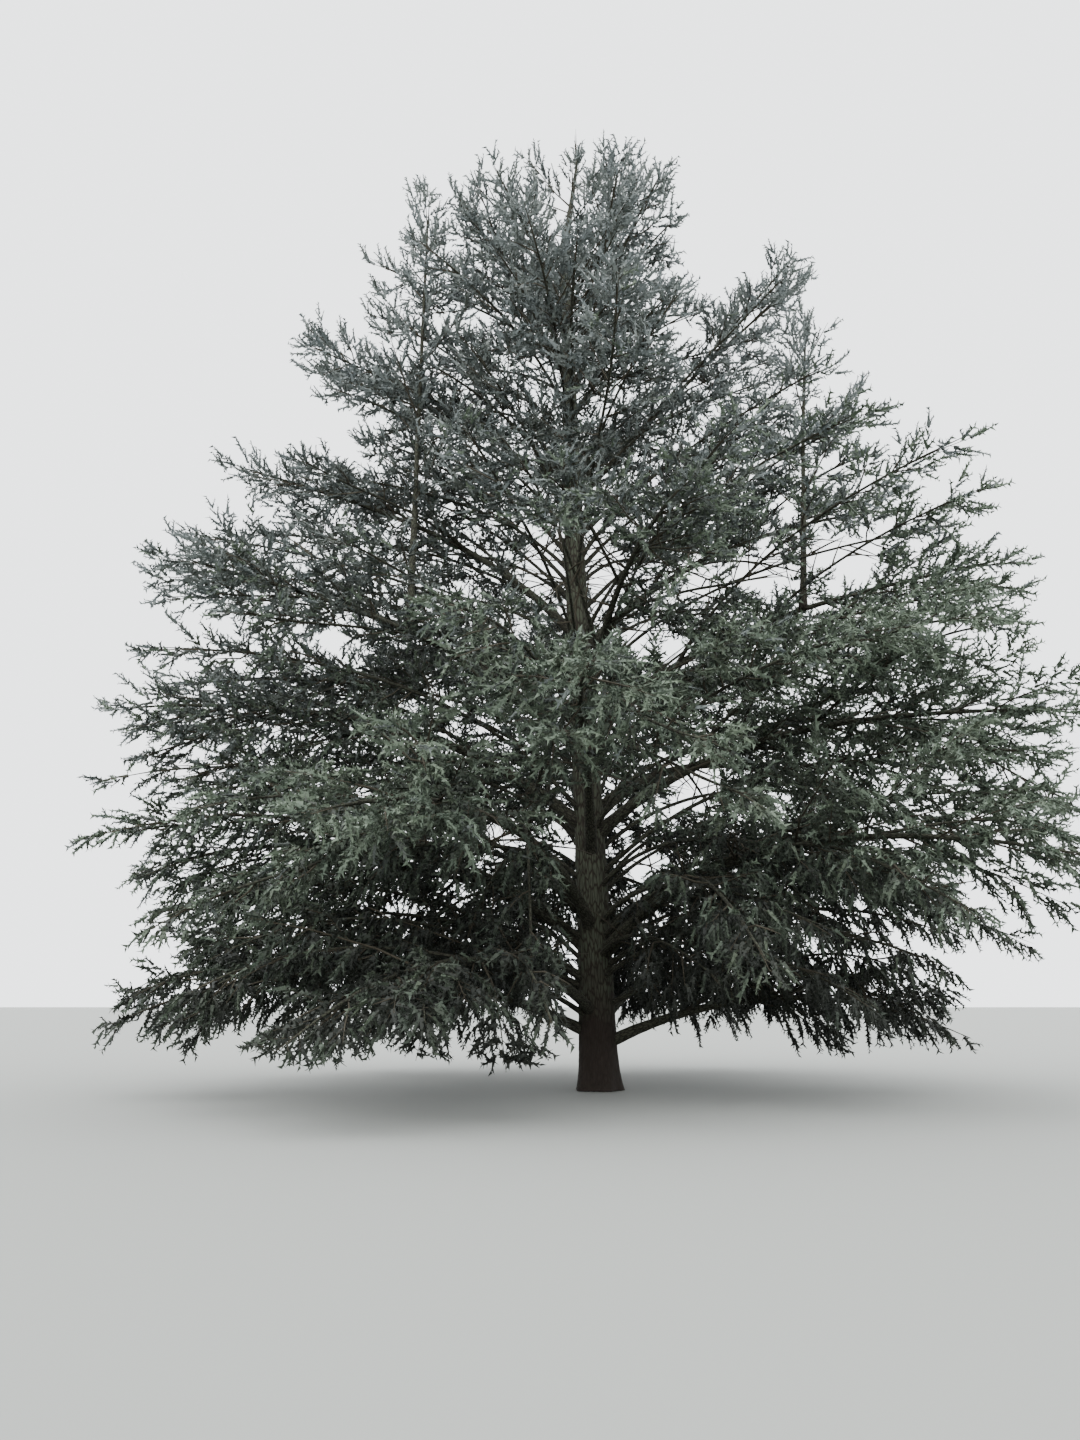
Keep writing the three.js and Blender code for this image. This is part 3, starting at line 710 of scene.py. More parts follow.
# Past this slope a spray's level is taken from another axis.
UPRIGHT_SLOPE = 0.95
HEIGHT_WEIGHT = np.array([1, 1, 1.5])
SPACE_MARGIN = 0.11
LIMB_MARGIN = 0.07
GROUND_MARGIN = 0.35
CUT_BACK = (1, 0.82, 0.66)
# How far along its stem the first twig stands, and the same on a spreading stem that has no bare foot.
FIRST_TWIG = 0.05
FIRST_ON_TRUNK = 0.25
STEM_START = 0.2
STEM_POINTS = 17
WOOD_POINTS = 41
# Shares of a twig, and of the way from a spray's edge to its middle, at which its space is tested.
TWIG_TESTS = (0.3, 0.5, 0.75)
SPRAY_TESTS = (0, 0.3, 0.6, 1)
# Points are measured against the wood in batches of about this many.
BATCH = 1000


class Spray:
    """A flat spray at the end of a stem or twig: it lies along a direction and droops a little."""

    def __init__(self, root, along, normal, length):
        self.root, self.along, self.normal, self.length = root, along, normal, length
        self.across = np.cross(normal, along)

    def point(self, a, b):
        a, b = np.asarray(a, float)[..., None], np.asarray(b, float)[..., None]
        flat = self.root + self.length * (a * self.along + b * self.across)
        return flat - SPRAY_DROOP * self.length * (a * a + 2 * b * b) * self.normal


def roll_about(v, axis, angle):
    turned = v * math.cos(angle) + np.cross(axis, v) * math.sin(angle)
    return turned + axis * (axis @ v) * (1 - math.cos(angle))


def lean_from(along, side, over, angle, roll):
    """A direction at an angle to along, leaning to the side and rolled from there towards over."""
    return along * math.cos(angle) + math.sin(angle) * (math.cos(roll) * side + math.sin(roll) * over)


def spray_normal(along, draws):
    guide = np.array([0.0, 0, 1]) if abs(along[2]) < UPRIGHT_SLOPE else np.array([1.0, 0, 0])
    level = unit(guide - (guide @ along) * along)
    return roll_about(level, along, math.radians(SPRAY_ROLL) * (2 * next(draws) - 1))


for limb in limbs:
    limb.first_twig = FIRST_ON_TRUNK if limb.bare == 0 and not limb.upright else FIRST_TWIG
    limb.stem = limb.point(np.linspace(max(limb.bare, STEM_START), 1, STEM_POINTS)) * HEIGHT_WEIGHT
wooden = [limb for limb in limbs if limb.bare > 0]
wood_points = np.concatenate([limb.point(np.linspace(0, limb.bare, WOOD_POINTS)) for limb in wooden])
wood_radii = np.concatenate([limb.thickness(np.linspace(0, limb.bare, WOOD_POINTS)) for limb in wooden])


def clear_of_wood(points, margin=LIMB_MARGIN):
    """True for each point that is clear of the trunk and of the bare boughs."""
    heights = np.minimum(points[:, 2], TRUNK_TOP)
    from_trunk = np.linalg.norm(points - trunk_axis(heights), axis=1) - trunk_radius(heights, 0)
    parts = np.array_split(points, len(points) // BATCH + 1)
    from_wood = np.concatenate([(np.linalg.norm(part[:, None] - wood_points, axis=2) - wood_radii).min(1)
                                for part in parts])
    return (from_trunk > margin) & (from_wood > margin)


def in_space(points, limb, margin=SPACE_MARGIN):
    """True if every point is off the ground, clear of wood and nearer to this limb's stem than to others."""
    if points[:, 2].min() < GROUND_MARGIN:
        return False
    weighted = points * HEIGHT_WEIGHT
    nearest = {other.name: np.linalg.norm(weighted[:, None] - other.stem, axis=2).min(1) for other in limbs}
    most = nearest.pop(limb.name) + margin
    return all((distance > most).all() for distance in nearest.values()) and clear_of_wood(points).all()


def test_points(foot, spray):
    twig = [foot + share * (spray.root - foot) for share in TWIG_TESTS]
    rim = np.vstack([spray.root, spray.point(SPRAY_OUTLINE[:, 0], SPRAY_OUTLINE[:, 1])])
    edge = np.vstack([rim, 0.5 * (rim + np.roll(rim, -1, axis=0))])
    centre = spray.root + SPRAY_CENTRE * spray.length * spray.along
    return np.vstack([twig] + [edge + share * (centre - edge) for share in SPRAY_TESTS])


def twig_angle(place):
    return TWIG_ANGLE_FOOT + (TWIG_ANGLE_TIP - TWIG_ANGLE_FOOT) * place


def twig_profile(place):
    base, slope, bend = TWIG_PROFILE
    return base + slope * place + bend * place ** 2


def end_spray(limb, normal):
    """The spray that a limb's stem runs out into."""
    root = limb.point(STEM_END)
    return Spray(root, limb.direction(STEM_END), normal, np.linalg.norm(limb.point(1) - root))


def grow_mass(limb):
    """A mass's main twigs by the solids' rule: its stem's end spray, then (foot, spray, radius) of each."""
    draws = seeded(limb.seed)
    end = end_spray(limb, spray_normal(limb.direction(STEM_END), draws))
    leafy = limb.length() * (STEM_END - limb.bare) * (1 - limb.first_twig)
    count = max(FEWEST_TWIGS, math.floor(leafy / TWIG_STEP + 0.5))
    side = limb.side()
    twigs = []
    for i in range(count):
        place = limb.first_twig + (LAST_TWIG - limb.first_twig) * i / (count - 1)
        share = limb.bare + (STEM_END - limb.bare) * place
        foot, along = limb.point(share), limb.direction(share)
        if limb.upright:
            roll = math.radians(GOLDEN_TURN * i)
        else:
            roll = math.pi * (i % 2) + math.radians(TWIG_TILT) * (2 * next(draws) - 1)
        angle = math.radians(twig_angle(place) + TWIG_ANGLE_SCATTER * (2 * next(draws) - 1))
        out = lean_from(along, side, np.cross(along, side), angle, -roll)
        reach = limb.spread * twig_profile(place) * (TWIG_SCATTER[0] + TWIG_SCATTER[1] * next(draws))
        forward = unit(out + SPRAY_FORWARD * along)
        facing = spray_normal(forward, draws)
        radius = max(TWIG_THINNESS * limb.thickness(share), TWIG_TIP_RADIUS)
        for size in CUT_BACK:
            spray_foot = foot + (1 - SPRAY_SHARE) * reach * size * out
            spray = Spray(spray_foot, forward, facing, SPRAY_SHARE * reach * size)
            if in_space(test_points(foot, spray), limb):
                twigs.append((foot, spray, radius))
                break
    return end, twigs


# More twigs of the same kind, shorter and tilted further, grow between the main ones.
MORE_TWIG_STEP = 0.5
LESSER_TWIG_STEP = 0.36
FEWEST_MORE = 3
MORE_TWIG_TILT = 45
MORE_TWIG_SPREAD = 8
MORE_TWIG_SCATTER = (0.6, 0.4)
MORE_TWIG_CLIMB = 0.3
MORE_TWIG_ROLL = 28
MORE_TWIG_THINNESS = 0.4
MORE_TWIG_SIZES = (0.9, 0.7, 0.5, 0.35)
MORE_TWIG_MARGIN = -0.1
SHORTEST_TWIG = 0.7
# How much shorter twigs get towards the tip of an upright stem, and towards over and under of any other.
FLATTENING = 0.45
CROWN_SLACK = 0.35


def in_crown(points):
    """True if every point is off the ground, within the crown's reach and clear of wood."""
    from_axis = np.linalg.norm(points[:, :2] - trunk_axis(points[:, 2])[:, :2], axis=1)
    inside = from_axis < np.interp(points[:, 2], CROWN_HEIGHTS, CROWN_REACHES) + CROWN_SLACK
    return inside.all() and points[:, 2].min() > GROUND_MARGIN and clear_of_wood(points).all()


def grow_more(limb, step):
    """Further twigs at chance places all along a stem, within its mass's own space, or on a fork or lesser
    bough within the crown."""
    count = max(FEWEST_MORE, int(limb.length() * (STEM_END - limb.bare) / step))
    side = limb.side()
    twigs = []
    for i in range(count):
        place = limb.first_twig + (1 - limb.first_twig) * (i + chance.random()) / count
        share = limb.bare + (STEM_END - limb.bare) * min(place, 1)
        foot, along = limb.point(share), limb.direction(share)
        if limb.upright:
            roll = 2 * math.pi * chance.random()
            flatness = 1 - FLATTENING * place
        else:
            roll = math.pi * (i % 2) + math.radians(MORE_TWIG_TILT) * chance.normal()
            flatness = 1 - FLATTENING + FLATTENING * abs(math.cos(roll))
        angle = math.radians(twig_angle(place) + MORE_TWIG_SPREAD * chance.normal())
        out = lean_from(along, side, np.cross(along, side), angle, -roll)
        reach = limb.spread * flatness * twig_profile(place) * scattered(*MORE_TWIG_SCATTER)
        forward = unit(out + SPRAY_FORWARD * along + np.array([0, 0, MORE_TWIG_CLIMB * chance.normal()]))
        level = unit(np.array([0.0, 0, 1]) - forward[2] * forward)
        facing = roll_about(level, forward, math.radians(MORE_TWIG_ROLL) * chance.normal())
        radius = max(MORE_TWIG_THINNESS * limb.thickness(share), TWIG_TIP_RADIUS)
        for size in MORE_TWIG_SIZES:
            length = max(reach * size, SHORTEST_TWIG)
            spray = Spray(foot + (1 - SPRAY_SHARE) * length * out, forward, facing, SPRAY_SHARE * length)
            tested = test_points(foot, spray)
            if in_crown(tested) if limb.stem is None else in_space(tested, limb, MORE_TWIG_MARGIN):
                twigs.append((foot, spray, radius))
                break
    return twigs


# Side twigs carry the leafy shoots. They stand on the middle line of each spray, on the bare foot of each
# twig and on the stems. Each cell of the crown holds a few, by how far out it lies: shares of the crown's
# reach and the number for each. Cells high up count as further out, those at the very top as further in.
ROOM_CELL = 0.55
ROOM_SHARES = [0.12, 0.3, 0.5]
MOST_IN_CELL = [2, 3, 4]
ROOM_HEIGHTS = [14, 18.5, 21.5]
ROOM_GAINS = [0, 0.5, -0.9]
LOWEST_TIP = 0.66
LOWEST_SCATTER = 0.5
# How far shoots turn up or down, by their height, and how much of a droop is left, by share of the reach.
LIFT_HEIGHTS = [0, 2.5, 4.5, 7, 10, 14, 20]
LIFTS = [-1.3, -1.1, -0.45, -0.05, 0.08, 0.22, 0.4]
DROOP_SHARES = [0.55, 0.9]
DROOPS = [1, 0.4]
SIDE_STEP = 0.3
FEWEST_SIDES = 3
SIDE_STAGGER = 0.25
SIDE_SHIFT = 0.3
SIDE_ANGLE = 42
SIDE_ANGLE_CHANGE = 10
SIDE_ANGLE_SCATTER = 8
SIDE_TILT = 17
# Side twigs are longest near the foot of a spray: their length, where that is, how soon it falls off.
SIDE_LENGTH = 0.5
LONGEST_PLACE = 0.15
LENGTH_FALL = 0.88
SIDE_SCATTER = (0.72, 0.5)
SHORTEST_SIDE = 0.16
SIDE_LIFT = 0.5
SIDE_FOOT_LIFT = 0.4
SIDE_RADIUS = 0.007
SIDE_TAPER = (1, 0.7, 0.3)
# Side twigs shorter than this are drawn straight.
BENT_LENGTH = 0.9
# The middle line of a spray, and its radii.
SPRAY_END = 0.97
SPRAY_LINE = [0, 0.5, SPRAY_END]
SPRAY_RADII = [TWIG_TIP_RADIUS, 0.012, 0.004]
FILL_STEP = 0.3
FILL_LENGTH = 0.62
FILL_SCATTER = (0.5, 0.7)
FILL_ANGLE = 58
FILL_ANGLE_SCATTER = 0.2
FILL_ROLL_SCATTER = 0.9
# Where the side twigs begin on a stem, in how many stretches they stand, and the same on a twig's bare foot.
STEM_LINE_START = 0.03
STRETCHES = 6
FOOT_LINE_START = 0.25
FOOT_LENGTH = 0.5
FOOT_THINNESS = 0.8
TWIG_LINE = [0.4, 1]

paths, path_radii = [], []
side_twigs = []
crowding = {}


def add_path(points, radii):
    paths.append(np.asarray(points))
    path_radii.append(np.asarray(radii))


def share_of_reach(points):
    """How far out points lie, from 0 at the trunk to 1 at the crown's reach."""
    from_axis = np.linalg.norm((points - trunk_axis(points[..., 2]))[..., :2], axis=-1)
    return from_axis / np.interp(points[..., 2], CROWN_HEIGHTS, CROWN_REACHES)


def lift_at(points):
    """How far shoots turn up from the way that their twig runs: they droop low down, less so at the crown's
    edge, and rise at the top."""
    lift = np.interp(points[..., 2], LIFT_HEIGHTS, LIFTS)
    return lift * np.where(lift < 0, np.interp(share_of_reach(points), DROOP_SHARES, DROOPS), 1)


def has_room(point):
    """True until a cell of the crown has all the side twigs that it holds."""
    cell = tuple(np.floor(point / ROOM_CELL).astype(int))
    crowding[cell] = crowding.get(cell, 0) + 1
    openness = share_of_reach(point) + np.interp(point[2], ROOM_HEIGHTS, ROOM_GAINS)
    return crowding[cell] <= np.interp(openness, ROOM_SHARES, MOST_IN_CELL)


def add_side_twig(foot, direction, normal, length):
    """A side twig as a path of two or three points, and a row for the shoots that it carries."""
    lift = SIDE_LIFT * lift_at(foot)
    direction = unit(direction + np.array([0, 0, SIDE_FOOT_LIFT * lift]))
    tip_direction = unit(direction + np.array([0, 0, lift]))
    middle = foot + 0.5 * length * direction
    tip = middle + 0.5 * length * tip_direction
    lowest = scattered(LOWEST_TIP, LOWEST_SCATTER)
    middle[2], tip[2] = max(middle[2], lowest), max(tip[2], lowest)
    outside = (tip < low_corner).any() or (tip > high_corner).any()
    line = np.array([foot, middle, tip])
    if outside or in_gap(line) or in_opening(line, NOTCHES) or hides_sky(line) or not has_room(middle):
        return
    drawn = [0, 2] if length < BENT_LENGTH else [0, 1, 2]
    add_path(line[drawn], SIDE_RADIUS * np.array(SIDE_TAPER)[drawn])
    side_twigs.append((foot, middle, tip, normal, length))


def dress_spray(spray, start=np.empty((0, 3)), start_radius=0):
    """The twig from its foot through the middle of its spray, and the side twigs that fill its outline."""
    count = max(FEWEST_SIDES, round(spray.length / SIDE_STEP))
    radii = [start_radius] * len(start) + SPRAY_RADII
    add_path(np.vstack([start, spray.point(SPRAY_LINE, [0, 0, 0])]), radii)
    for i in range(count):
        for sign in (-1, 1):
            a = (i + 0.5 + SIDE_STAGGER * sign + SIDE_SHIFT * (chance.random() - 0.5)) / count
            if a > SPRAY_END:
                continue
            angle = SIDE_ANGLE + SIDE_ANGLE_CHANGE * (0.5 - a)
            angle = math.radians(angle + SIDE_ANGLE_SCATTER * (chance.random() - 0.5))
            tilt = math.radians(SIDE_TILT) * chance.normal()
            flat = math.cos(angle) * spray.along + sign * math.sin(angle) * spray.across
            direction = flat * math.cos(tilt) + spray.normal * math.sin(tilt)
            fullness = 1 - max(0, (a - LONGEST_PLACE) / LENGTH_FALL) ** 2
            length = max(SHORTEST_SIDE, SIDE_LENGTH * fullness * scattered(*SIDE_SCATTER) * spray.length)
            add_side_twig(spray.point(a, 0), direction, spray.normal, length)


def dress_line(start, end, normal, two_sided, length=FILL_LENGTH):
    """Short side twigs along a bare stretch of stem or twig, on two sides of it or all round."""
    along = unit(end - start)
    across = np.cross(normal, along)
    count = int(np.linalg.norm(end - start) / FILL_STEP)
    for i in range(count):
        share = (i + chance.random()) / count
        if two_sided:
            roll = math.pi * (i % 2) + FILL_ROLL_SCATTER * chance.normal()
        else:
            roll = math.radians(GOLDEN_TURN * i)
        angle = math.radians(FILL_ANGLE) + FILL_ANGLE_SCATTER * chance.normal()
        direction = lean_from(along, across, normal, angle, roll)
        add_side_twig(start + share * (end - start), direction, normal, length * scattered(*FILL_SCATTER))


for limb in lesser:
    limb.first_twig, limb.stem = FIRST_TWIG, None
for limb in limbs + lesser:
    side = limb.side()
    if limb.stem is None:
        facing = unit(np.cross(limb.direction(STEM_END), side))
        end = end_spray(limb, facing * np.sign(facing[2]))
        twigs = grow_more(limb, LESSER_TWIG_STEP)
    else:
        end, twigs = grow_mass(limb)
        twigs += grow_more(limb, MORE_TWIG_STEP)
    dress_spray(end)
    first = max(limb.bare, FIRST_ON_TRUNK if limb.first_twig == FIRST_ON_TRUNK else STEM_LINE_START)
    shares = np.linspace(first, STEM_END, STRETCHES + 1)
    for share, next_share in zip(shares, shares[1:]):
        start, stop = limb.point(share), limb.point(next_share)
        dress_line(start, stop, unit(np.cross(unit(stop - start), side)), not limb.upright)
    for foot, spray, radius in twigs:
        if in_opening(spray.point(TWIG_LINE, [0, 0]), NOTCHES):
            continue
        dress_line(foot + FOOT_LINE_START * (spray.root - foot), spray.root, spray.normal, True, FOOT_LENGTH)
        dress_spray(spray, foot[None], FOOT_THINNESS * radius)

# A dead twig hangs from the fringe left of the trunk nearly to the ground, from the tip nearest to its place.
DEAD_TWIG_PLACE = np.array([-1.6, -0.3, 0.75])
DEAD_TWIG_LINE = np.array([(0, 0, 0), (0.02, 0.01, -0.2), (-0.01, 0, -0.4), (-0.05, 0.01, -0.57)])
DEAD_TWIG_RADII = [0.009, 0.007, 0.005, 0.003]
fringe = np.array([tip for _, _, tip, _, _ in side_twigs])
hanger = fringe[np.argmin(np.linalg.norm(fringe - DEAD_TWIG_PLACE, axis=1))]
add_path(hanger + DEAD_TWIG_LINE, DEAD_TWIG_RADII)

# The twig tree sweeps a three-sided section along every path.
twig_tree, asked, TWIG_INPUTS = new_tree("twigs along paths", {"Material": "Material"})
lines = add_node(twig_tree, "GeometryNodeMeshToCurve", {"Mesh": asked["Geometry"]})
thickness = add_node(twig_tree, "GeometryNodeInputNamedAttribute", {"Name": "thickness"}, data_type="FLOAT")
section = add_node(twig_tree, "GeometryNodeCurvePrimitiveCircle", {"Resolution": 3, "Radius": 1.0})
wood = add_node(twig_tree, "GeometryNodeCurveToMesh", {
    "Curve": lines.outputs[0], "Profile Curve": section.outputs[0], "Scale": thickness.outputs[0],
    "Fill Caps": True})
end_tree(twig_tree, wood.outputs[0], asked["Material"])

TWIG_PLATE = (0.02, 0.06)
twig_bark = bark_material("twig bark", "#3f382f", "#241f1a", "#3b3b30", *TWIG_PLATE)


def path_mesh(name, paths, radii):
    """One mesh of open lines, with the radius at each point as the attribute "thickness"."""
    lengths = [len(path) for path in paths]
    starts = np.cumsum([0] + lengths[:-1])
    near = np.concatenate([np.arange(first, first + count - 1) for first, count in zip(starts, lengths)])
    mesh = bpy.data.meshes.new(name)
    mesh.from_pydata(np.concatenate(paths), np.stack([near, near + 1], -1).tolist(), [])
    add_attribute(mesh, "thickness", "FLOAT", np.concatenate(radii))
    return mesh


# The twigs are two pieces, those that start below this height and those above it.
HALF_HEIGHT = 6.0
masses = [f"{limb.name}_foliage" for limb in limbs]
is_low = np.array([path[0][2] < HALF_HEIGHT for path in paths])
for name, chosen in (("low_twigs", np.flatnonzero(is_low)), ("high_twigs", np.flatnonzero(~is_low))):
    mesh = path_mesh(name, [paths[i] for i in chosen], [path_radii[i] for i in chosen])
    piece = run_tree(name, mesh, twig_tree, TWIG_INPUTS, {"Material": twig_bark})
    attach(piece, "root")
    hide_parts(*masses)


# Needles
# Stiff needles in rosettes all round the leafy shoots, blue-green under a pale waxy bloom, palest on the
# newest growth, with painted shade deep and low in the crown and painted light at its edge and top. Each is
# one slim triangle, longer and wider than in life, so that a million faces fill the crown.

NEEDLES_ON_SHOOT = 10
NEEDLE_LENGTH = 0.078
NEEDLE_WIDTH = 0.035
NEEDLE_LEAN = 42
CORE_RADIUS = 0.031
SHOOT_LENGTH = 0.27
SHOOT_STEP = 0.115
FEWEST_SHOOTS = 2
# Where shoots stand on a side twig: from this share of it on, over this share, shifted by part of a step.
SHOOT_START = 0.12
SHOOT_SPAN = 0.83
SHOOT_SHIFT = 0.6
SHOOT_ANGLE = 33
SHOOT_ANGLE_SCATTER = 0.2
SHOOT_ROLL_SCATTER = 0.75
# A shoot's size at the foot of its side twig, and how much smaller it is at the tip.
SHOOT_SIZE = 1.15
SHOOT_FALL = 0.45
SHOOT_SCATTER = (0.75, 0.5)
END_SHOOT_SINK = 0.1
END_SHOOT_SCATTER = (0.8, 0.4)
# A shoot's newness is its share of the way along its side twig, and this for the shoot at the tip.
END_NEWNESS = 1.2
SHOOT_MARGIN = 0.02

rows = []
for foot, middle, tip, normal, length in side_twigs:
    count = max(FEWEST_SHOOTS, round(length / SHOOT_STEP))
    along = unit(tip - foot)
    across = unit(np.cross(normal, along))
    over = np.cross(along, across)
    for i in range(count):
        share = SHOOT_START + SHOOT_SPAN * (i + SHOOT_SHIFT * chance.random()) / count
        if share < 0.5:
            point = foot + 2 * share * (middle - foot)
        else:
            point = middle + (2 * share - 1) * (tip - middle)
        roll = math.pi * (i % 2) + SHOOT_ROLL_SCATTER * chance.normal()
        angle = math.radians(SHOOT_ANGLE) + SHOOT_ANGLE_SCATTER * chance.normal()
        aim = lean_from(along, across, over, angle, roll)
        size = SHOOT_LENGTH * (SHOOT_SIZE - SHOOT_FALL * share) * scattered(*SHOOT_SCATTER)
        rows.append((*point, *aim, size, share))
    size = SHOOT_LENGTH * scattered(*END_SHOOT_SCATTER)
    rows.append((*(tip - END_SHOOT_SINK * (tip - middle)), *along, size, END_NEWNESS))
rows = np.array(rows)
points, aims, sizes, newness = rows[:, :3], rows[:, 3:6], rows[:, 6], rows[:, 7]
aims[:, 2] += lift_at(points)
aims = unit(aims)
lowest = LOWEST_TIP + 0.5 * LOWEST_SCATTER * chance.random(len(points))
aims[:, 2] = np.maximum(aims[:, 2], (lowest - points[:, 2]) / sizes)
aims = unit(aims)
tips = points + aims * sizes[:, None]
keep = ((tips > low_corner) & (tips < high_corner)).all(axis=1) & clear_of_wood(points, SHOOT_MARGIN)
points, aims, sizes, newness = points[keep], aims[keep], sizes[keep], newness[keep]

# The needle tree builds one shoot, a thin core with a tuft of leaning needles, and sets it on every point.
# The triangle of a needle is 1 long and starts at its foot. Its lean, twist and size vary within a tuft.
TRIANGLE_RADIUS = 0.6667
TRIANGLE_FOOT = 0.3333
LEAN_SCATTER = 0.3
TWIST_SCATTER = 1.2
SMALLEST_NEEDLE = 0.75
LARGEST_NEEDLE = 1.2
needle_tree, asked, NEEDLE_INPUTS = new_tree("needles on shoots", {
    "Needles": "Int", "Needle Length": "Float", "Needle Width": "Float", "Needle Lean": "Float",
    "Shoot Length": "Float", "Seed": "Int", "Material": "Material"})
spacing = add_node(needle_tree, "ShaderNodeMath", {0: asked["Shoot Length"], 1: asked["Needles"]},
                   operation="DIVIDE")
rise = add_node(needle_tree, "ShaderNodeCombineXYZ", {"Z": spacing.outputs[0]})
places = add_node(needle_tree, "GeometryNodeMeshLine", {
    "Count": asked["Needles"], "Start Location": (0, 0, 0), "Offset": rise.outputs[0]})
triangle = add_node(needle_tree, "GeometryNodeMeshCircle", {"Vertices": 3, "Radius": TRIANGLE_RADIUS},
                    fill_type="NGON")
slim = add_node(needle_tree, "ShaderNodeCombineXYZ", {
    "X": asked["Needle Length"], "Y": asked["Needle Width"], "Z": 1.0})
forward = add_node(needle_tree, "ShaderNodeVectorMath", {
    0: slim.outputs[0], 1: (TRIANGLE_FOOT, 0, 0)}, operation="MULTIPLY")
needle = add_node(needle_tree, "GeometryNodeTransform", {
    "Geometry": triangle.outputs[0], "Translation": forward.outputs[0], "Scale": slim.outputs[0]})
index = add_node(needle_tree, "GeometryNodeInputIndex")
turn = add_node(needle_tree, "ShaderNodeMath", {0: index.outputs[0], 1: math.radians(GOLDEN_TURN)},
                operation="MULTIPLY")
lean = add_node(needle_tree, "ShaderNodeMath", {0: asked["Needle Lean"], 1: -1.0}, operation="MULTIPLY")
wobble = add_node(needle_tree, "FunctionNodeRandomValue", {
    2: -LEAN_SCATTER, 3: LEAN_SCATTER, "Seed": asked["Seed"]}, data_type="FLOAT")
leaned = add_node(needle_tree, "ShaderNodeMath", {0: lean.outputs[0], 1: wobble.outputs[1]}, operation="ADD")
twist = add_node(needle_tree, "FunctionNodeRandomValue", {
    2: -TWIST_SCATTER, 3: TWIST_SCATTER, "Seed": asked["Seed"], "ID": 7}, data_type="FLOAT")
pose = add_node(needle_tree, "ShaderNodeCombineXYZ", {
    "X": twist.outputs[1], "Y": leaned.outputs[0], "Z": turn.outputs[0]})
size_scatter = add_node(needle_tree, "FunctionNodeRandomValue", {
    2: SMALLEST_NEEDLE, 3: LARGEST_NEEDLE, "Seed": asked["Seed"], "ID": 3}, data_type="FLOAT")
tuft = add_node(needle_tree, "GeometryNodeInstanceOnPoints", {
    "Points": places.outputs[0], "Instance": needle.outputs[0], "Rotation": pose.outputs[0],
    "Scale": size_scatter.outputs[1]})
core = add_node(needle_tree, "GeometryNodeMeshCone", {
    "Vertices": 3, "Radius Bottom": CORE_RADIUS, "Radius Top": 0.0, "Depth": asked["Shoot Length"]},
    fill_type="NONE")
shoot = add_node(needle_tree, "GeometryNodeJoinGeometry")
needle_tree.links.new(tuft.outputs[0], shoot.inputs[0])
needle_tree.links.new(core.outputs[0], shoot.inputs[0])
aim_named = add_node(needle_tree, "GeometryNodeInputNamedAttribute", {"Name": "aim"},
                     data_type="FLOAT_VECTOR")
size_named = add_node(needle_tree, "GeometryNodeInputNamedAttribute", {"Name": "size"}, data_type="FLOAT")
aimed = add_node(needle_tree, "FunctionNodeAlignRotationToVector", {"Vector": aim_named.outputs[0]}, axis="Z")
spin = add_node(needle_tree, "FunctionNodeRandomValue", {2: 0.0, 3: 2 * math.pi, "Seed": asked["Seed"]},
                data_type="FLOAT")
spin_turn = add_node(needle_tree, "FunctionNodeAxisAngleToRotation", {
    "Axis": (0, 0, 1), "Angle": spin.outputs[1]})
spun = add_node(needle_tree, "FunctionNodeRotateRotation", {
    "Rotation": aimed.outputs[0], "Rotate By": spin_turn.outputs[0]}, rotation_space="LOCAL")
whole = add_node(needle_tree, "GeometryNodeGeometryToInstance", {"Geometry": shoot.outputs[0]})
shoots = add_node(needle_tree, "GeometryNodeInstanceOnPoints", {
    "Points": asked["Geometry"], "Instance": whole.outputs[0], "Rotation": spun.outputs[0],
    "Scale": size_named.outputs[0]})
end_tree(needle_tree, shoots.outputs[0], asked["Material"])


def needle_material(name, colour, other):
    """Waxy needles: a matt bloom over blue-green, a little lighter and darker from spray to spray."""
    material, tree, shader = new_material(name, roughness=0.62, specular=0.35)
    place = add_node(tree, "ShaderNodeTexCoord")
    patches = add_node(tree, "ShaderNodeTexNoise", {
        "Vector": place.outputs["Object"], "Scale": 2.3, "Detail": 2.0})
    share = add_node(tree, "ShaderNodeMapRange", {
        "Value": patches.outputs[0], "From Min": 0.35, "From Max": 0.65})
    mixed = add_node(tree, "ShaderNodeMix", {0: share.outputs[0], 6: linear(colour), 7: linear(other)},
                     data_type="RGBA")
    tree.links.new(mixed.outputs[2], shader.inputs["Base Color"])
    return material


# name, colour and its variation, from the darkest to the lightest: painted shade for shoots deep and low in
# the crown, painted light for those at its edge and top, and the high tints lighter still as painted light of
# the bright sky there. Greener low down and to the right, bluer high up and to the left
LOW_TINTS = [
    ("needles_shaded", "#191d18", "#1d2119"),
    ("needles_dark_green", "#272f26", "#2a3126"),
    ("needles_green", "#394338", "#3d4537"),
    ("needles_grey_green", "#515c50", "#556050"),
]
HIGH_TINTS = [
    ("needles_dark_blue", "#363c39", "#3a3e37"),
    ("needles_blue_green", "#484f4d", "#4c514b"),
    ("needles_blue", "#555c5b", "#585e5a"),
    ("needles_silver", "#697071", "#6c726e"),
]
# How much lighter shoots are by their height, as painted shade low in the crown and painted light high up,
# and by how new they are, as new growth is paler.
SHADE_HEIGHTS = [0, 2, 4, 10, 18]
SHADES = [-0.6, 0.0, 0.55, 1.1, 1.5]
NEWNESS_WEIGHT = 0.5
MIDDLE_NEWNESS = 0.55
SHADE_SCATTER = 0.12
# Shoots are bluer above this height, and from higher up on the right than on the left.
BLUE_HEIGHT = 8.5
BLUE_DRIFT = 0.42
BLUE_SCATTER = 2.2
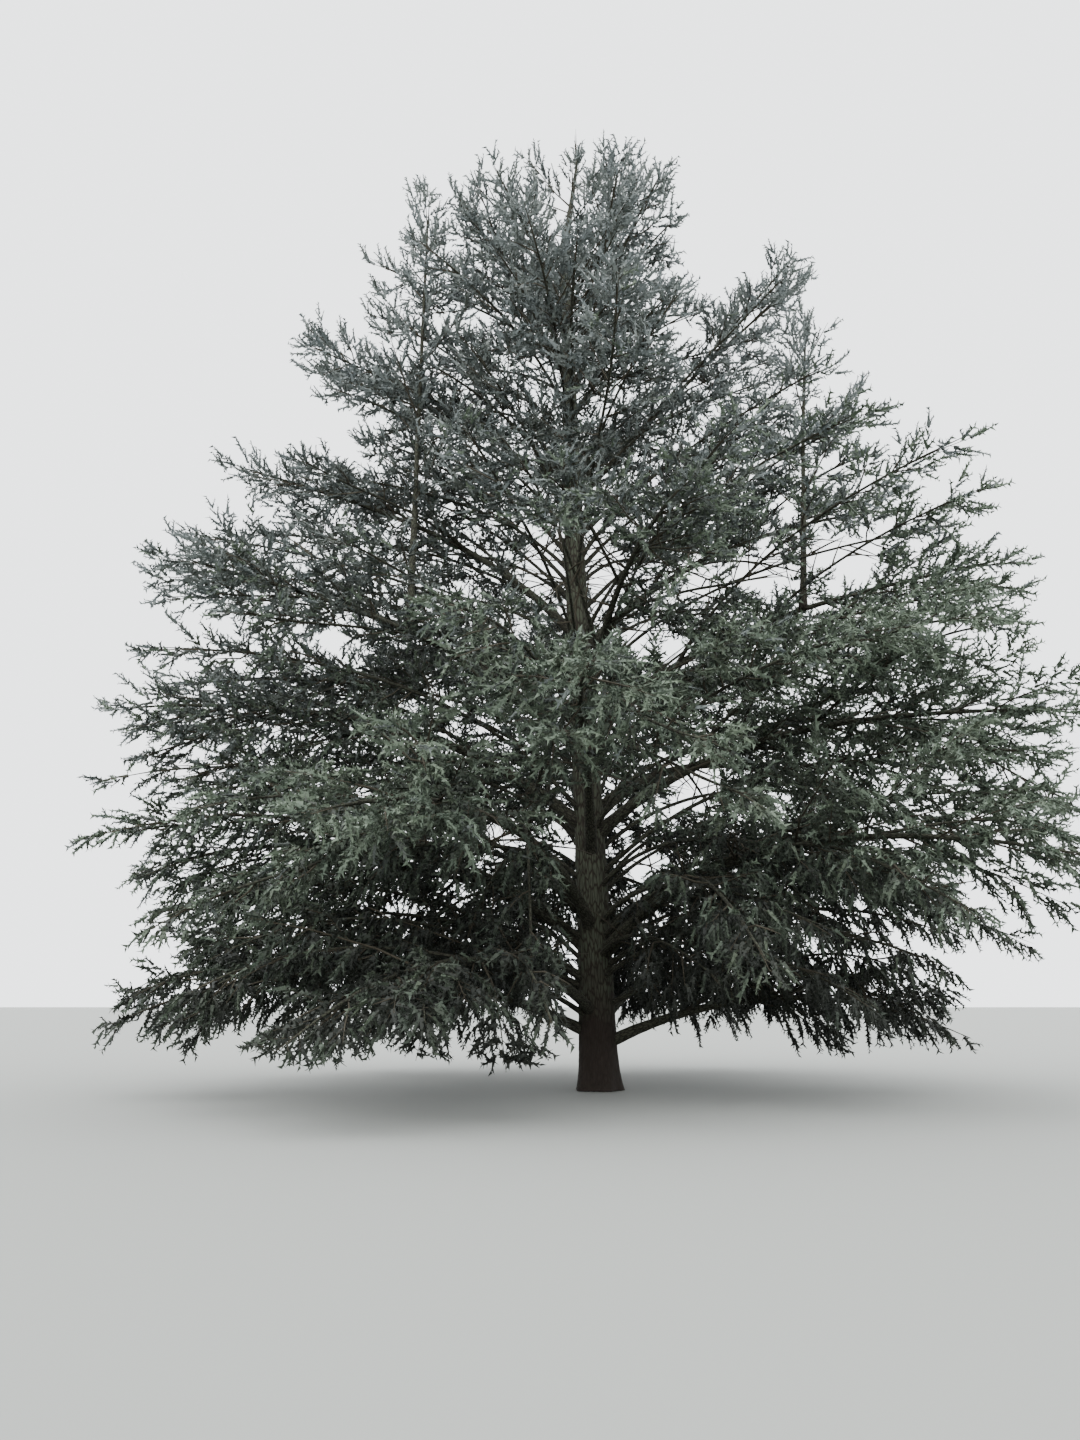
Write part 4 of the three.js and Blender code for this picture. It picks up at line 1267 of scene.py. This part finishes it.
# Shoots deep in the crown are painted darker, as its shade, and those at its edge lighter, as the light
# there.
shade = share_of_reach(points)
shade += np.interp(points[:, 2], SHADE_HEIGHTS, SHADES)
shade += NEWNESS_WEIGHT * (newness - MIDDLE_NEWNESS) + SHADE_SCATTER * chance.normal(size=len(points))
order = np.argsort(shade)
blueness = points[order, 2] - BLUE_DRIFT * points[order, 0] + BLUE_SCATTER * chance.normal(size=len(points))
is_high = blueness > BLUE_HEIGHT
shares = np.array_split(order[~is_high], len(LOW_TINTS)) + np.array_split(order[is_high], len(HIGH_TINTS))
for number, ((name, colour, other), chosen) in enumerate(zip(LOW_TINTS + HIGH_TINTS, shares)):
    mesh = bpy.data.meshes.new(name)
    mesh.from_pydata(points[chosen], [], [])
    add_attribute(mesh, "aim", "FLOAT_VECTOR", aims[chosen])
    add_attribute(mesh, "size", "FLOAT", sizes[chosen] / SHOOT_LENGTH)
    piece = run_tree(name, mesh, needle_tree, NEEDLE_INPUTS, {
        "Needles": NEEDLES_ON_SHOOT, "Needle Length": NEEDLE_LENGTH, "Needle Width": NEEDLE_WIDTH,
        "Needle Lean": math.radians(NEEDLE_LEAN), "Shoot Length": SHOOT_LENGTH, "Seed": number,
        "Material": needle_material(name, colour, other)})
    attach(piece, "root")
    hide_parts(*masses)


# Floor, light and camera
# A pale matt floor, an even pale sky with one soft lamp high on the left, and a camera at standing eye height
# that looks up at the crown as the photograph does.

FLOOR_SIZE = 1600
FLOOR_DEPTH = 0.01
SKY_STRENGTH = 3.4
LAMP_STRENGTH = 3.0
LAMP_WIDTH = 80
LAMP_TILT = (35, -15)
PITCH = 14.783
SENSOR_HEIGHT = 36
LENS = 27
FARTHEST = 1000

half = FLOOR_SIZE / 2
floor_mesh = bpy.data.meshes.new("floor")
corners = [(-half, -half), (half, -half), (half, half), (-half, half)]
floor_mesh.from_pydata([(x, y, -FLOOR_DEPTH) for x, y in corners], [], [(0, 1, 2, 3)])
floor = new_object("floor", floor_mesh)
floor_paint, _, floor_shader = new_material("pale matt floor", roughness=0.95)
floor_shader.inputs["Base Color"].default_value = linear("#8d8f8b")
floor_mesh.materials.append(floor_paint)

world = bpy.data.worlds.new("even pale sky")
world.use_nodes = True
sky = world.node_tree.nodes["Background"]
sky.inputs["Color"].default_value = linear("#eef1f3")
sky.inputs["Strength"].default_value = SKY_STRENGTH
bpy.context.scene.world = world

lamp_data = bpy.data.lights.new("soft lamp", "SUN")
lamp_data.energy = LAMP_STRENGTH
lamp_data.angle = math.radians(LAMP_WIDTH)
lamp = new_object("soft_lamp", lamp_data)
lamp.rotation_euler = (math.radians(LAMP_TILT[0]), math.radians(LAMP_TILT[1]), 0)

camera_data = bpy.data.cameras.new("camera")
camera_data.sensor_fit = "VERTICAL"
camera_data.sensor_height = SENSOR_HEIGHT
camera_data.lens = LENS
camera_data.clip_end = FARTHEST
camera = new_object("camera", camera_data)
camera.location = EYE
camera.rotation_euler = (math.radians(90 + PITCH), 0, 0)
bpy.context.scene.camera = camera
